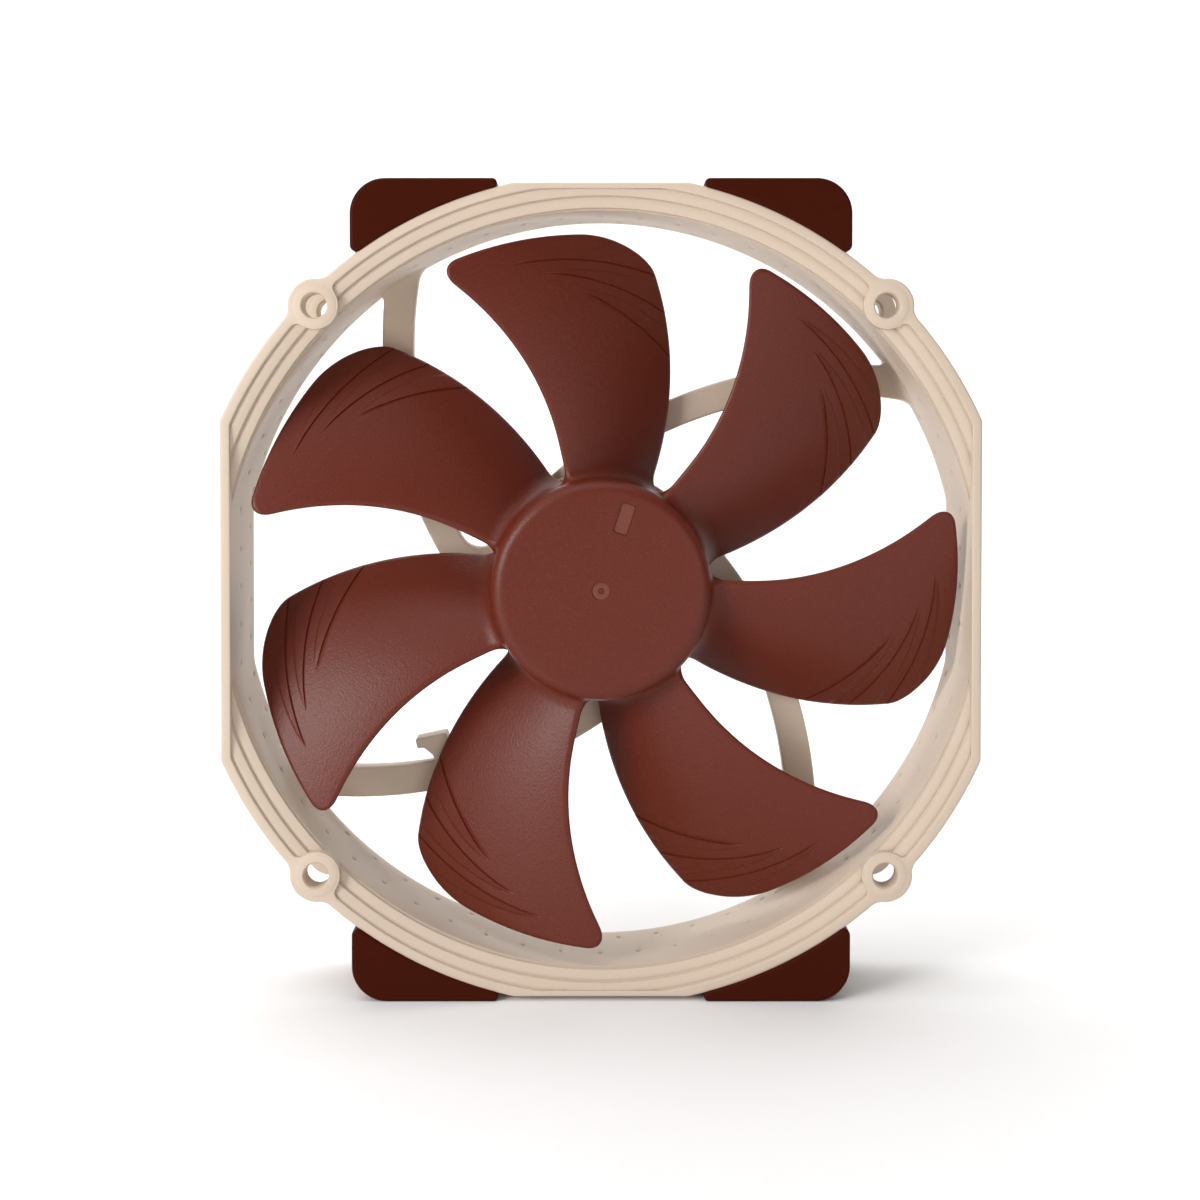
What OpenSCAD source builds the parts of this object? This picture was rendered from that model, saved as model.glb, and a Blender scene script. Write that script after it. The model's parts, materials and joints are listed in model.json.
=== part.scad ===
// Case fan with a round duct, 140 mm class, on the hole pattern of a 120 mm fan.
// The fan stands upright on its two lower pads. Its axis runs along Y, the inlet faces -Y,
// and the origin is on the axis, halfway through the depth of the frame.
// Each sub-part is drawn with its own z towards the inlet and is then stood upright.

/* [Frame] */
// Distance between fixing holes, both ways, which sets the size of the round frame
hole_pitch = 105; // [87:0.5:130]
// Depth of the frame along the airflow
frame_depth = 25; // [22:0.5:32]
// Distance from the duct's wall to the middle of a fixing hole
hole_land = 4.25; // [3.5:0.05:5.5]
// Width of the round flanges outside the duct
rim_w = 6.7; // [6:0.1:8.5]
// How much the side flats take off the round flanges
side_cut = 6.7; // [4:0.1:8]
// How much the top and bottom flats take off the round flanges
top_cut = 1.7; // [0.5:0.1:3]
// Wall of the duct between the two flanges, and behind the side flats
duct_wall = 1.8; // [1.2:0.1:2.4]
// Thickness of the front and rear flanges
flange_t = 5; // [3:0.5:6]

/* [Inlet steps] */
// Width of each of the two sloping terraces
terrace_w = 2.15; // [1.6:0.05:2.4]
// Width of the rounded lip between the terraces and the duct
lip_w = 0.5; // [0.3:0.1:1]
// Drop at each step
step_drop = 0.6; // [0.2:0.1:1]
// Slope of each terrace from its outer to its inner edge
terrace_fall = 0.4; // [0.1:0.1:0.8]
// Width of the plain rim along the top and bottom flats
rim_flat = 1.1; // [0.6:0.1:1.4]

/* [Fixing holes] */
// Diameter of a fixing hole
hole_d = 4.5; // [3.5:0.1:5]
// Radius of a screw lug
lug_r = 4.95; // [4:0.05:6]
// Radius of the flat face round a fixing hole
hole_face_r = 4.35; // [3:0.05:4.9]
// Concave radius where a lug meets the ring
lug_fillet_r = 3; // [1:0.5:6]
// Concave radius where the rim meets the face round a hole
face_fillet_r = 1.5; // [0.5:0.1:2.5]

/* [Struts] */
// Number of struts that carry the motor
strut_count = 4; // [3:1:6]
// Angle of the first strut's foot on the duct
strut_foot_angle = -57.2; // [-60:0.1:-50]
// Angle at which the first strut meets the motor base
strut_head_angle = 28; // [20:1:32]
// Bow of a strut's centre line
strut_bow = 8.3; // [6:0.1:10]
// Width of a strut at the duct
strut_foot_w = 6.2; // [4:0.1:8]
// Width of a strut at the motor base
strut_head_w = 5.1; // [3:0.1:6]
// Thickness of a strut along the airflow
strut_t = 3.6; // [2.5:0.1:4]
// Reach of the cable hook's arm
hook_reach = 6.2; // [4:0.1:8]

/* [Pads] */
// Inner end of a pad, from the middle of the fan
pad_inner_x = 19.6; // [18:0.2:24]
// Outer side of a pad, from the middle of the fan
pad_outer_x = 46; // [42:0.5:50]
// How far a pad stands above the top or bottom flat
pad_stand = 0.8; // [0.3:0.1:1.5]
// Radius of a pad's outer corner
pad_corner_r = 6.5; // [3:0.5:8]
// Radius of the pad's tip between its outer side and the ring
pad_tip_r = 1.2; // [0.4:0.1:2]
// How far a pad stands in front of the flange face
pad_proud = 0.4; // [0.2:0.1:1]
// Thickness of the frame web inside a pad
web_t = 2; // [1:0.1:3]
// Inset of that web from the pad's outline
web_inset = 1.6; // [1:0.1:2.5]

/* [Impeller] */
// Radius of the hub
hub_r = 20.6; // [17:0.1:25]
// Rounding of the hub's front edge
hub_round = 2.6; // [1:0.1:4]
// Depth of the hub face behind the frame's front
hub_inset = 0.8; // [0.4:0.1:3]
// Gap between the hub's rear edge and the motor base
hub_gap = 1.2; // [0.8:0.1:2]
// Wall of the hub
hub_wall = 1.3; // [1:0.1:1.3]
// Number of blades
blade_count = 7; // [5:1:9]
// Gap between the blade tips and the flat side walls of the duct
tip_gap = 1.4; // [1:0.1:2.5]
// Thickness of a blade at its root
blade_root_t = 2; // [1.2:0.1:3]
// Thickness of a blade at its tip
blade_tip_t = 1.5; // [1:0.1:2]
// Thickness of a blade's edges
blade_edge_t = 0.7; // [0.4:0.1:1]
// Depth of the leading edge at the hub
lead_depth_root = 5.2; // [3:0.1:8]
// Depth of the leading edge at the tip
lead_depth_tip = 1.6; // [0.8:0.1:5]
// Distance from the trailing edges to the hub's rear edge
trail_inset = 1; // [0.5:0.1:3]
// Share of the camber in a blade's section
blade_camber = 0.4; // [0:0.05:0.6]
// Length of the balance pocket in the hub's face
pocket_l = 6.1; // [3:0.1:8]
// Width of the balance pocket
pocket_w = 2.8; // [1.5:0.1:4]

/* [Motor] */
// Diameter of the shaft
shaft_d = 3; // [2:0.1:3.5]
// Running clearance of the shaft in its bearing, on the radius
bearing_play = 0.02; // [0.01:0.01:0.1]
// Wall of the sintered bearing sleeve
sleeve_wall = 2.05; // [1.5:0.05:2.5]
// Wall of the brass bearing shell
shell_wall = 1; // [0.6:0.05:1.2]
// Wall of the moulded bearing tube
tube_wall = 1; // [0.8:0.05:1.1]
// Air gap between the stator core and the ring magnet
air_gap = 0.8; // [0.4:0.1:1.2]
// Height of the stator core's stack of sheets
core_h = 6.2; // [4:0.1:7]
// Width of a stator arm
arm_w = 4; // [3:0.1:5]
// Thickness of the wire wound on an arm
winding_t = 1.5; // [0.8:0.1:1.6]
// Wall of the plastic insulators
insulator_wall = 0.6; // [0.4:0.1:0.8]
// Wall of the steel yoke
yoke_wall = 1; // [0.6:0.1:1]
// Thickness of the ring magnet
magnet_t = 2; // [1:0.1:2.1]
// How far the circuit board stays inside the rim of the motor base
board_inset = 0.9; // [0.5:0.1:2]
// Thickness of the circuit board
board_t = 1.2; // [0.8:0.1:1.6]
// How far the motor base reaches outside the hub
base_reach = 0.9; // [0.5:0.1:3]
// Height of the motor base along the airflow
base_h = 4.4; // [3.8:0.1:5]
// Wall of the motor base's rim
base_rim = 1.8; // [1.2:0.1:2]
// Floor of the motor base
base_floor = 1.8; // [1.2:0.1:2]
// Plain margin of the motor base round its label
label_margin = 1.6; // [1:0.1:4]
// Thickness of that label
label_t = 0.3; // [0.1:0.05:0.5]

/* [Hidden] */
$fn = 96;
// Clearance between pieces that touch, and the small overlap of cuts
fit_gap = 0.05;
cut = 1;
// Distance from the yoke's face to the ring magnet, and length of the shaft's bush
magnet_setback = 4.6;
bush_l = 3.9;
// Radius of a pad's nose, and depth of the web inside it behind the flange face
nose_r = 1;
web_front = 1.5;
// Where the lead leaves the motor base, and the size of that notch
notch_angle = 250;
notch_w = 5;
notch_h = 3;
// Curves of a blade's edges: angles in degrees, and their change with the radius
lead_low = 3;
lead_bend = 0.0187;
lead_ease = 0.0294;
trail_start = 11.3;
trail_slope = 0.36;
trail_bend = 0.0018;
// Rounded outer corners of a blade: drop in radius and share of the chord
lead_corner = 4.6;
lead_corner_share = 0.12;
trail_corner = 7;
trail_corner_share = 0.3;
// Balance pocket and gate mark in the hub's face
pocket_angle = 72;
pocket_distance = 0.68 * hub_r;
pocket_depth = 0.4;
gate_r = 1.75;
gate_pin_r = 0.6;
gate_depth = 0.25;
half_depth = frame_depth / 2;
hole_offset = hole_pitch / 2;
lug_distance = hole_offset * sqrt(2);
duct_r = lug_distance - hole_land;
ring_r = duct_r + rim_w;
frame_w = 2 * (ring_r - side_cut);
frame_h = 2 * (ring_r - top_cut);
duct_half_w = frame_w / 2 - duct_wall;
step_three_r = duct_r + lip_w;
step_two_r = step_three_r + terrace_w;
step_one_r = step_two_r + terrace_w;

// Height above the middle of the frame of something a given depth behind the front
function front(depth) = half_depth - depth;

// Motor stack, as depths behind the front of the frame
hub_rear = frame_depth - base_h - hub_gap;
trail_depth = hub_rear - trail_inset;
tip_r = min(duct_r, duct_half_w) - tip_gap;
hub_skin = 2;
yoke_front = hub_inset + hub_skin + 0.1;
yoke_rear = hub_rear - 0.5;
yoke_r = hub_r - hub_wall - fit_gap;
magnet_r = yoke_r - yoke_wall - fit_gap;
magnet_front = yoke_front + magnet_setback;
shaft_r = shaft_d / 2;
bush_r = shaft_r + 2.5;
bush_rear = yoke_front + bush_l;
base_r = hub_r + base_reach;
board_r = base_r - base_rim - board_inset;
label_r = base_r - label_margin;
label_gap = 0.2;
sleeve_r = shaft_r + bearing_play + sleeve_wall;
core_r = magnet_r - magnet_t - air_gap;
base_front = frame_depth - base_h;
floor_front = frame_depth - base_floor;
board_front = hub_rear + 0.6;
board_rear = board_front + board_t;
core_rear = board_front - 4;
core_front = core_rear - core_h;
coil_lift = insulator_wall + winding_t;
shell_r = sleeve_r + fit_gap + shell_wall;
tube_in_r = shell_r + fit_gap;
tube_r = tube_in_r + tube_wall;
tube_front = bush_rear + 1.2;
shell_front = tube_front - 0.6;
sleeve_front = shell_front + 1;
sleeve_rear = board_front + 0.6;
shaft_rear = frame_depth - 2.5;
groove_r = shaft_r - 0.35;
groove_front = sleeve_rear + 0.5;
groove_w = 0.4;
thrust_front = shaft_rear + 0.1;
thrust_rear = thrust_front + 0.5;
cap_front = thrust_rear + 0.1;
core_bore_r = tube_r + fit_gap;
core_ring_r = core_bore_r + 2.4;
shoe_t = 1.9;
shoe_in_r = core_r - shoe_t;
coil_in_r = core_ring_r + 0.6;
coil_half_w = arm_w / 2 + insulator_wall + winding_t;
// The coil stops where its outer corner reaches the round inside of the pole shoe
coil_out_r = sqrt(pow(shoe_in_r - 0.3, 2) - pow(coil_half_w, 2));
pin_r = 0.35;
pin_distance = core_ring_r + 1.1;

// Stands a piece drawn along z upright, with its front towards -Y
module upright() {
    rotate([90, 0, 0]) children();
}

// A flat piece between two depths behind the frame's front
module slab(front_depth, rear_depth) {
    translate([0, 0, front(rear_depth)]) linear_extrude(rear_depth - front_depth) children();
}

module at_corners() {
    for (sx = [-1, 1]) {
        for (sy = [-1, 1]) {
            mirror([sx < 0 ? 1 : 0, 0, 0]) mirror([0, sy < 0 ? 1 : 0, 0]) children();
        }
    }
}

// ---- Outline of the frame ----

// A point at a radius and an angle
function polar(r, a) = [r * cos(a), r * sin(a)];

// Concave fillet between a large circle round the origin and a small circle on the 45 degree line
module neck_fillet(big_r, small_r, fillet_r, side) {
    // The fillet's centre is fillet_r outside both circles
    from_origin = big_r + fillet_r;
    from_small = small_r + fillet_r;
    between = pow(from_origin, 2) + pow(lug_distance, 2) - pow(from_small, 2);
    turn = acos(between / (2 * from_origin * lug_distance));
    centre = polar(from_origin, 45 + side * turn);
    hub = [hole_offset, hole_offset];
    touch_big = polar(big_r, 45 + side * turn);
    to_hub = (hub - centre) / norm(hub - centre);
    touch_small = centre + to_hub * fillet_r;
    inner = polar(big_r - 3, 45 + side * turn);
    difference() {
        polygon([inner, touch_big, centre, touch_small, hub]);
        translate(centre) circle(fillet_r);
    }
}

module lug_outline(r) {
    translate([hole_offset, hole_offset]) circle(r);
    for (side = [-1, 1]) neck_fillet(ring_r, r, lug_fillet_r, side);
}

module flange_outline() {
    intersection() {
        circle(ring_r);
        square([frame_w, frame_h], center = true);
    }
    at_corners() lug_outline(lug_r);
}

module duct_outline(r) {
    intersection() {
        circle(r);
        square([2 * duct_half_w, frame_h], center = true);
    }
}

// The plain face round a hole, with a fillet into the rim on both sides
module hole_face() {
    turn_r = step_one_r - face_fillet_r;
    reach = hole_face_r + face_fillet_r;
    turn = acos((pow(turn_r, 2) + pow(lug_distance, 2) - pow(reach, 2)) / (2 * turn_r * lug_distance));
    hub = [hole_offset, hole_offset];
    translate(hub) circle(hole_face_r);
    for (side = [-1, 1]) {
        centre = polar(turn_r, 45 + side * turn);
        touch_rim = polar(step_one_r, 45 + side * turn);
        to_hub = (hub - centre) / norm(hub - centre);
        touch_face = centre + to_hub * face_fillet_r;
        difference() {
            polygon([centre, touch_rim, polar(step_one_r + 1, 45 + side * turn), hub, touch_face]);
            translate(centre) circle(face_fillet_r);
        }
    }
}

// One terrace: a shallow cone that falls towards the duct
module terrace(outer_r, inner_r, top) {
    translate([0, 0, front(top + step_drop + terrace_fall)])
        cylinder(h = terrace_fall, r1 = inner_r, r2 = outer_r);
    translate([0, 0, front(top + step_drop)]) cylinder(h = top + step_drop + cut, r = outer_r);
}

module inlet_steps() {
    second_top = step_drop + terrace_fall;
    third_top = 2 * second_top;
    lip_depth = third_top + step_drop;
    difference() {
        intersection() {
            union() {
                terrace(step_one_r, step_two_r, 0);
                terrace(step_two_r, step_three_r, second_top);
                translate([0, 0, front(lip_depth)]) cylinder(h = lip_depth + cut, r = step_three_r);
                translate([0, 0, front(lip_depth + 1)]) cylinder(h = 1, r1 = duct_r, r2 = step_three_r);
            }
            translate([0, 0, front(flange_t)])
                linear_extrude(flange_t + 2 * cut)
                    square([2 * duct_half_w, frame_h - 2 * rim_flat], center = true);
        }
        at_corners() slab(-2 * cut, flange_t) hole_face();
    }
}

// ---- Struts and motor base ----

foot = polar(duct_r + duct_wall / 2, strut_foot_angle);
head = polar(base_r - base_rim, strut_head_angle);
chord = norm(head - foot);
bow_r = (pow(chord / 2, 2) + pow(strut_bow, 2)) / (2 * strut_bow);
across = [(head[1] - foot[1]) / chord, -(head[0] - foot[0]) / chord];
bow_centre = (foot + head) / 2 - across * (bow_r - strut_bow);
foot_bearing = atan2(foot[1] - bow_centre[1], foot[0] - bow_centre[0]);
head_bearing = atan2(head[1] - bow_centre[1], head[0] - bow_centre[0]);
strut_steps = 14;

function strut_point(share, side) =
    let (bearing = foot_bearing + share * (head_bearing - foot_bearing))
    let (width = strut_foot_w + share * (strut_head_w - strut_foot_w))
    bow_centre + polar(bow_r + side * width / 2, bearing);

module strut_plan() {
    // One step past the head, so that the outer edge runs into the base
    last = strut_steps + 1;
    outer = [for (i = [0 : last]) strut_point(i / strut_steps, 1)];
    inner = [for (i = [last : -1 : 0]) strut_point(i / strut_steps, -1)];
    polygon(concat(outer, inner));
}

module struts() {
    for (i = [0 : strut_count - 1]) rotate(360 * i / strut_count) strut_plan();
}

// The hook on one strut that holds the lead against it
module cable_hook() {
    hook_share = 0.4;
    post_w = 3.4;
    arm_h = 2;
    gap_h = 3.2;
    hook_front = frame_depth - 5.4;
    root = strut_point(hook_share, -1);
    lean = foot_bearing + hook_share * (head_bearing - foot_bearing);
    rotate(-90) translate(root) rotate(lean - 90) {
        slab(hook_front, frame_depth)
            translate([-post_w / 2, -gap_h - arm_h]) square([post_w, gap_h + arm_h + cut]);
        slab(hook_front, frame_depth) translate([-post_w / 2, -gap_h - arm_h]) square([hook_reach, arm_h]);
    }
}

module motor_base() {
    difference() {
        union() {
            slab(base_front, frame_depth) circle(base_r);
            slab(tube_front, frame_depth) circle(tube_r);
        }
        difference() {
            slab(base_front - cut, floor_front) circle(base_r - base_rim);
            slab(tube_front - cut, floor_front) circle(tube_r);
            // Ledge that the circuit board sits on
            slab(board_rear, floor_front) circle(tube_r + 1.4);
        }
        slab(tube_front - cut, frame_depth + cut) circle(tube_in_r);
        slab(frame_depth - label_t, frame_depth + cut) circle(label_r + label_gap);
        // Notch that lets the lead out of the base
        rotate(notch_angle)
            translate([base_r - base_rim - cut, -notch_w / 2, front(frame_depth + cut)])
                cube([base_rim + 2 * cut, notch_w, notch_h]);
    }
}

// ---- Pads and the webs they grip ----

pad_top = frame_h / 2 + pad_stand;

// Plan of the upper right pad, or of the web inside it when inset. The web also keeps clear of the tip
module pad_plan(inset, tip) {
    difference() {
        intersection() {
            translate([pad_inner_x + inset, 0])
                square([pad_outer_x - pad_inner_x - 2 * inset - tip, pad_top - inset]);
            union() {
                square([pad_outer_x - pad_corner_r, pad_top]);
                square([pad_outer_x, pad_top - pad_corner_r]);
                translate([pad_outer_x - pad_corner_r, pad_top - pad_corner_r])
                    circle(pad_corner_r - inset);
            }
            union() {
                translate([pad_inner_x + nose_r, 0]) square([pad_outer_x, pad_top]);
                translate([0, -nose_r]) square([pad_outer_x, pad_top]);
                translate([pad_inner_x + nose_r, pad_top - nose_r]) circle(nose_r);
            }
        }
        circle(ring_r - 2);
    }
}

// What the rounding takes off the sharp corner between a pad's side and the ring
module pad_tip_cut() {
    edge_r = ring_r + fit_gap;
    centre_x = pad_outer_x - pad_tip_r;
    centre = [centre_x, sqrt(pow(edge_r + pad_tip_r, 2) - pow(centre_x, 2))];
    touch_x = centre_x * edge_r / (edge_r + pad_tip_r);
    difference() {
        translate([touch_x, 0]) square([pad_outer_x - touch_x + cut, centre[1]]);
        translate(centre) circle(pad_tip_r);
    }
}

module pad_webs() {
    at_corners() {
        slab(web_front, web_front + web_t) pad_plan(web_inset, pad_tip_r);
        slab(frame_depth - web_front - web_t, frame_depth - web_front) pad_plan(web_inset, pad_tip_r);
    }
}

// One pad on the upper right corner of the front flange
module pad() {
    difference() {
        slab(-pad_proud, flange_t + pad_proud) pad_plan(0, 0);
        slab(-pad_proud - cut, flange_t + pad_proud + cut) {
            circle(ring_r + fit_gap);
            pad_tip_cut();
        }
        slab(web_front - fit_gap, web_front + web_t + fit_gap) {
            difference() {
                pad_plan(web_inset - fit_gap, pad_tip_r);
                circle(ring_r - 1);
            }
        }
    }
}

// left, below and rear are 1 to mirror the pad to that side
module placed_pad(left, below, rear) {
    color([0.29, 0.12, 0.09])
        upright() mirror([left, 0, 0]) mirror([0, below, 0]) mirror([0, 0, rear]) pad();
}

module pad_front_top_left() {
    placed_pad(1, 0, 0);
}

module pad_front_top_right() {
    placed_pad(0, 0, 0);
}

module pad_front_bottom_left() {
    placed_pad(1, 1, 0);
}

module pad_front_bottom_right() {
    placed_pad(0, 1, 0);
}

module pad_rear_top_left() {
    placed_pad(1, 0, 1);
}

module pad_rear_top_right() {
    placed_pad(0, 0, 1);
}

module pad_rear_bottom_left() {
    placed_pad(1, 1, 1);
}

module pad_rear_bottom_right() {
    placed_pad(0, 1, 1);
}

module frame() {
    color([0.86, 0.80, 0.71]) upright() difference() {
        union() {
            difference() {
                union() {
                    slab(0, flange_t) flange_outline();
                    slab(frame_depth - flange_t, frame_depth) flange_outline();
                    slab(0, frame_depth) intersection() {
                        circle(duct_r + duct_wall);
                        square([frame_w, frame_h], center = true);
                    }
                    pad_webs();
                }
                slab(-cut, frame_depth + cut) duct_outline(duct_r);
                inlet_steps();
                at_corners()
                    slab(-cut, frame_depth + cut)
                        translate([hole_offset, hole_offset]) circle(hole_d / 2);
            }
            slab(frame_depth - strut_t, frame_depth) difference() {
                struts();
                // The struts stop at the base's recess and at the label's
                circle(max(base_r - base_rim, label_r + label_gap));
            }
            cable_hook();
            motor_base();
        }
    }
}

// ---- Impeller ----

pitch = 360 / blade_count;

// Angle of the leading edge: lowest a little outside the hub, then sweeping forward
function lead_angle(r) =
    let (past = r - 1.5 * hub_r)
    lead_low + lead_bend * past * past / (1 + lead_ease * abs(past));

// Angle of the trailing edge, which belongs to the blade one pitch behind
function trail_angle(r) =
    let (past = r - hub_r)
    trail_start - pitch + trail_slope * past + trail_bend * past * past;

// Drop of a blade's outer edge at its rounded ends, as a quarter ellipse
function corner_drop(share, width, drop) =
    share >= width ? 0 : drop * (1 - sqrt(max(0, 1 - pow(1 - share / width, 2))));

function blade_end(share) =
    tip_r - corner_drop(share, lead_corner_share, lead_corner)
        - corner_drop(1 - share, trail_corner_share, trail_corner);

function blade_t(r, share) =
    let (out = (r - hub_r) / (tip_r - hub_r))
    let (middle = blade_root_t + (blade_tip_t - blade_root_t) * max(0, out))
    blade_edge_t + (middle - blade_edge_t) * sqrt(max(0, sin(180 * pow(share, 0.8))));

// A point of the blade: share runs from the leading edge to the trailing edge,
// and side is 1 on the inlet face and -1 on the outlet face
function blade_point(out, share, side) =
    let (root = hub_r - hub_wall / 2)
    let (r = root + out * (blade_end(share) - root))
    let (lead = lead_angle(r))
    let (sweep = lead - trail_angle(r))
    let (lead_depth = lead_depth_root + (lead_depth_tip - lead_depth_root) * (r - hub_r) / (tip_r - hub_r))
    let (fall = trail_depth - lead_depth)
    let (depth = lead_depth + fall * ((1 - blade_camber) * share + blade_camber * share * share))
    let (slope = fall * (1 - blade_camber + 2 * blade_camber * share) / (sweep * r * PI / 180))
    let (lean = atan(slope))
    let (half = side * blade_t(r, share) / 2)
    let (angle = lead - share * sweep - half * sin(lean) * 180 / (PI * r))
    [r * cos(angle), r * sin(angle), front(depth - half * cos(lean))];

out_steps = 11;
share_steps = 12;
// Shares bunched towards the rounded ends
function share_at(j) = (1 - cos(180 * j / share_steps)) / 2;

module blade() {
    row = share_steps + 1;
    layer = (out_steps + 1) * row;
    points = [
        for (side = [1, -1])
            for (i = [0 : out_steps])
                for (j = [0 : share_steps]) blade_point(i / out_steps, share_at(j), side),
    ];
    inlet_face = [
        for (i = [0 : out_steps - 1])
            for (j = [0 : share_steps - 1])
                let (a = i * row + j)
                each [[a, a + row, a + row + 1], [a, a + row + 1, a + 1]],
    ];
    outlet_face = [for (f = inlet_face) [f[2] + layer, f[1] + layer, f[0] + layer]];
    border = concat(
        [for (j = [0 : share_steps]) j],
        [for (i = [1 : out_steps]) i * row + share_steps],
        [for (j = [share_steps - 1 : -1 : 0]) out_steps * row + j],
        [for (i = [out_steps - 1 : -1 : 1]) i * row],
    );
    count = len(border);
    edges = [
        for (k = [0 : count - 1])
            let (a = border[k])
            let (b = border[(k + 1) % count])
            each [[a, b, b + layer], [a, b + layer, a + layer]],
    ];
    polyhedron(points = points, faces = concat(inlet_face, outlet_face, edges), convexity = 4);
}

module hub() {
    difference() {
        translate([0, 0, front(hub_rear)]) rotate_extrude() {
            height = hub_rear - hub_inset;
            square([hub_r - hub_round, height]);
            square([hub_r, height - hub_round]);
            translate([hub_r - hub_round, height - hub_round]) circle(hub_round);
        }
        slab(yoke_front - 0.1, hub_rear + cut) circle(hub_r - hub_wall);
        // Balance pocket in the face, and the moulding gate's ring
        slab(hub_inset - cut, hub_inset + pocket_depth)
            rotate(pocket_angle) translate([pocket_distance, 0]) square([pocket_l, pocket_w], center = true);
        slab(hub_inset - cut, hub_inset + gate_depth) difference() {
            circle(gate_r);
            circle(gate_pin_r);
        }
    }
}

module impeller() {
    color([0.42, 0.20, 0.17]) upright() {
        hub();
        for (i = [0 : blade_count - 1]) rotate(pitch * i) blade();
    }
}

// ---- Rotor parts inside the hub ----

module rotor_yoke() {
    color([0.62, 0.63, 0.65]) upright() difference() {
        slab(yoke_front, yoke_rear) circle(yoke_r);
        slab(yoke_front + yoke_wall, yoke_rear + cut) circle(yoke_r - yoke_wall);
        slab(yoke_front - cut, yoke_rear) circle(bush_r + fit_gap);
    }
}

module ring_magnet() {
    color([0.20, 0.20, 0.21]) upright() slab(magnet_front, yoke_rear) difference() {
        circle(magnet_r);
        circle(magnet_r - magnet_t);
    }
}

module shaft_bush() {
    color([0.78, 0.62, 0.32]) upright() slab(yoke_front, bush_rear) difference() {
        circle(bush_r);
        circle(shaft_r);
    }
}

module shaft() {
    color([0.75, 0.76, 0.78]) upright() {
        slab(yoke_front, groove_front) circle(shaft_r);
        slab(groove_front - 0.1, groove_front + groove_w + 0.1) circle(groove_r);
        slab(groove_front + groove_w, shaft_rear) circle(shaft_r);
    }
}

module retaining_ring() {
    color([0.85, 0.85, 0.80]) upright() slab(groove_front + 0.04, groove_front + groove_w - 0.04) {
        difference() {
            circle(shaft_r + 1.1);
            circle(groove_r + 0.01);
            // The slit that lets the ring open over the shaft
            translate([0, -0.3]) square([shaft_r + 2, 0.6]);
        }
    }
}

// ---- Bearing ----

module bearing_shell() {
    color([0.80, 0.65, 0.30]) upright() slab(shell_front, thrust_rear) difference() {
        circle(shell_r);
        circle(shell_r - shell_wall);
    }
}

module bearing_sleeve() {
    color([0.66, 0.52, 0.36]) upright() slab(sleeve_front, sleeve_rear) difference() {
        circle(sleeve_r);
        circle(shaft_r + bearing_play);
    }
}

module seal_washer() {
    color([0.15, 0.15, 0.15]) upright() slab(shell_front + 0.1, sleeve_front - 0.1) difference() {
        circle(sleeve_r);
        circle(shaft_r + 0.1);
    }
}

module thrust_plate() {
    color([0.72, 0.72, 0.74]) upright() slab(thrust_front, thrust_rear) circle(sleeve_r);
}

module end_cap() {
    color([0.25, 0.25, 0.26]) upright() slab(cap_front, frame_depth - label_t - 0.1) circle(shell_r);
}

// ---- Stator ----

module quarter_turns() {
    for (i = [0 : 3]) rotate(90 * i) children();
}

module core_plan() {
    difference() {
        union() {
            circle(core_ring_r);
            quarter_turns() translate([0, -arm_w / 2]) square([core_r - 0.6, arm_w]);
            quarter_turns() intersection() {
                difference() {
                    circle(core_r);
                    circle(shoe_in_r);
                }
                polygon([[0, 0], polar(2 * core_r, -38), polar(2 * core_r, 38)]);
            }
        }
        circle(core_bore_r);
    }
}

module stator_core() {
    color([0.55, 0.56, 0.58]) upright() slab(core_front, core_rear) core_plan();
}

// Plan of an insulator's end plate, with lobes that carry the pins
module insulator_plan(lobes) {
    difference() {
        union() {
            circle(core_ring_r + 0.3);
            quarter_turns() translate([0, -arm_w / 2 - insulator_wall])
                square([shoe_in_r, arm_w + 2 * insulator_wall]);
            if (lobes) {
                quarter_turns() translate(polar(pin_distance, 45)) circle(1.2);
            }
        }
        circle(core_bore_r);
    }
}

module insulator_legs() {
    difference() {
        quarter_turns() translate([core_ring_r - 0.4, -arm_w / 2 - insulator_wall])
            square([shoe_in_r - core_ring_r - 0.2, arm_w + 2 * insulator_wall]);
        quarter_turns() translate([0, -arm_w / 2 - fit_gap]) square([core_r, arm_w + 2 * fit_gap]);
        circle(core_ring_r + fit_gap);
    }
}

core_middle = (core_front + core_rear) / 2;

module insulator_front() {
    color([0.90, 0.90, 0.86]) upright() {
        slab(core_front - insulator_wall, core_front) insulator_plan(false);
        slab(core_front - insulator_wall, core_middle) insulator_legs();
    }
}

module insulator_rear() {
    color([0.90, 0.90, 0.86]) upright() difference() {
        union() {
            slab(core_rear, core_rear + insulator_wall) insulator_plan(true);
            slab(core_middle, core_rear + insulator_wall) insulator_legs();
        }
        slab(core_rear - cut, core_rear + insulator_wall + cut) pin_spots() circle(pin_r + 0.02);
    }
}

// One winding, a closed band round a stator arm
module coil(turn) {
    inner_w = arm_w + 2 * insulator_wall + 2 * fit_gap;
    reach = coil_out_r - coil_in_r;
    color([0.72, 0.40, 0.18]) upright() rotate(turn) difference() {
        slab(core_front - coil_lift, core_rear + coil_lift)
            translate([coil_in_r, -coil_half_w]) square([reach, 2 * coil_half_w]);
        slab(core_front - insulator_wall - fit_gap, core_rear + insulator_wall + fit_gap)
            translate([coil_in_r - cut, -inner_w / 2]) square([reach + 2 * cut, inner_w]);
    }
}

module coil_top() {
    coil(90);
}

module coil_right() {
    coil(0);
}

module coil_bottom() {
    coil(270);
}

module coil_left() {
    coil(180);
}

module pin_spots() {
    for (turn = [45, 135, 225]) translate(polar(pin_distance, turn)) children();
}

module terminal_pins() {
    color([0.85, 0.80, 0.55]) upright()
        slab(core_rear + 0.05, board_rear + 0.6) pin_spots() circle(pin_r);
}

// ---- Circuit board ----

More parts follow.
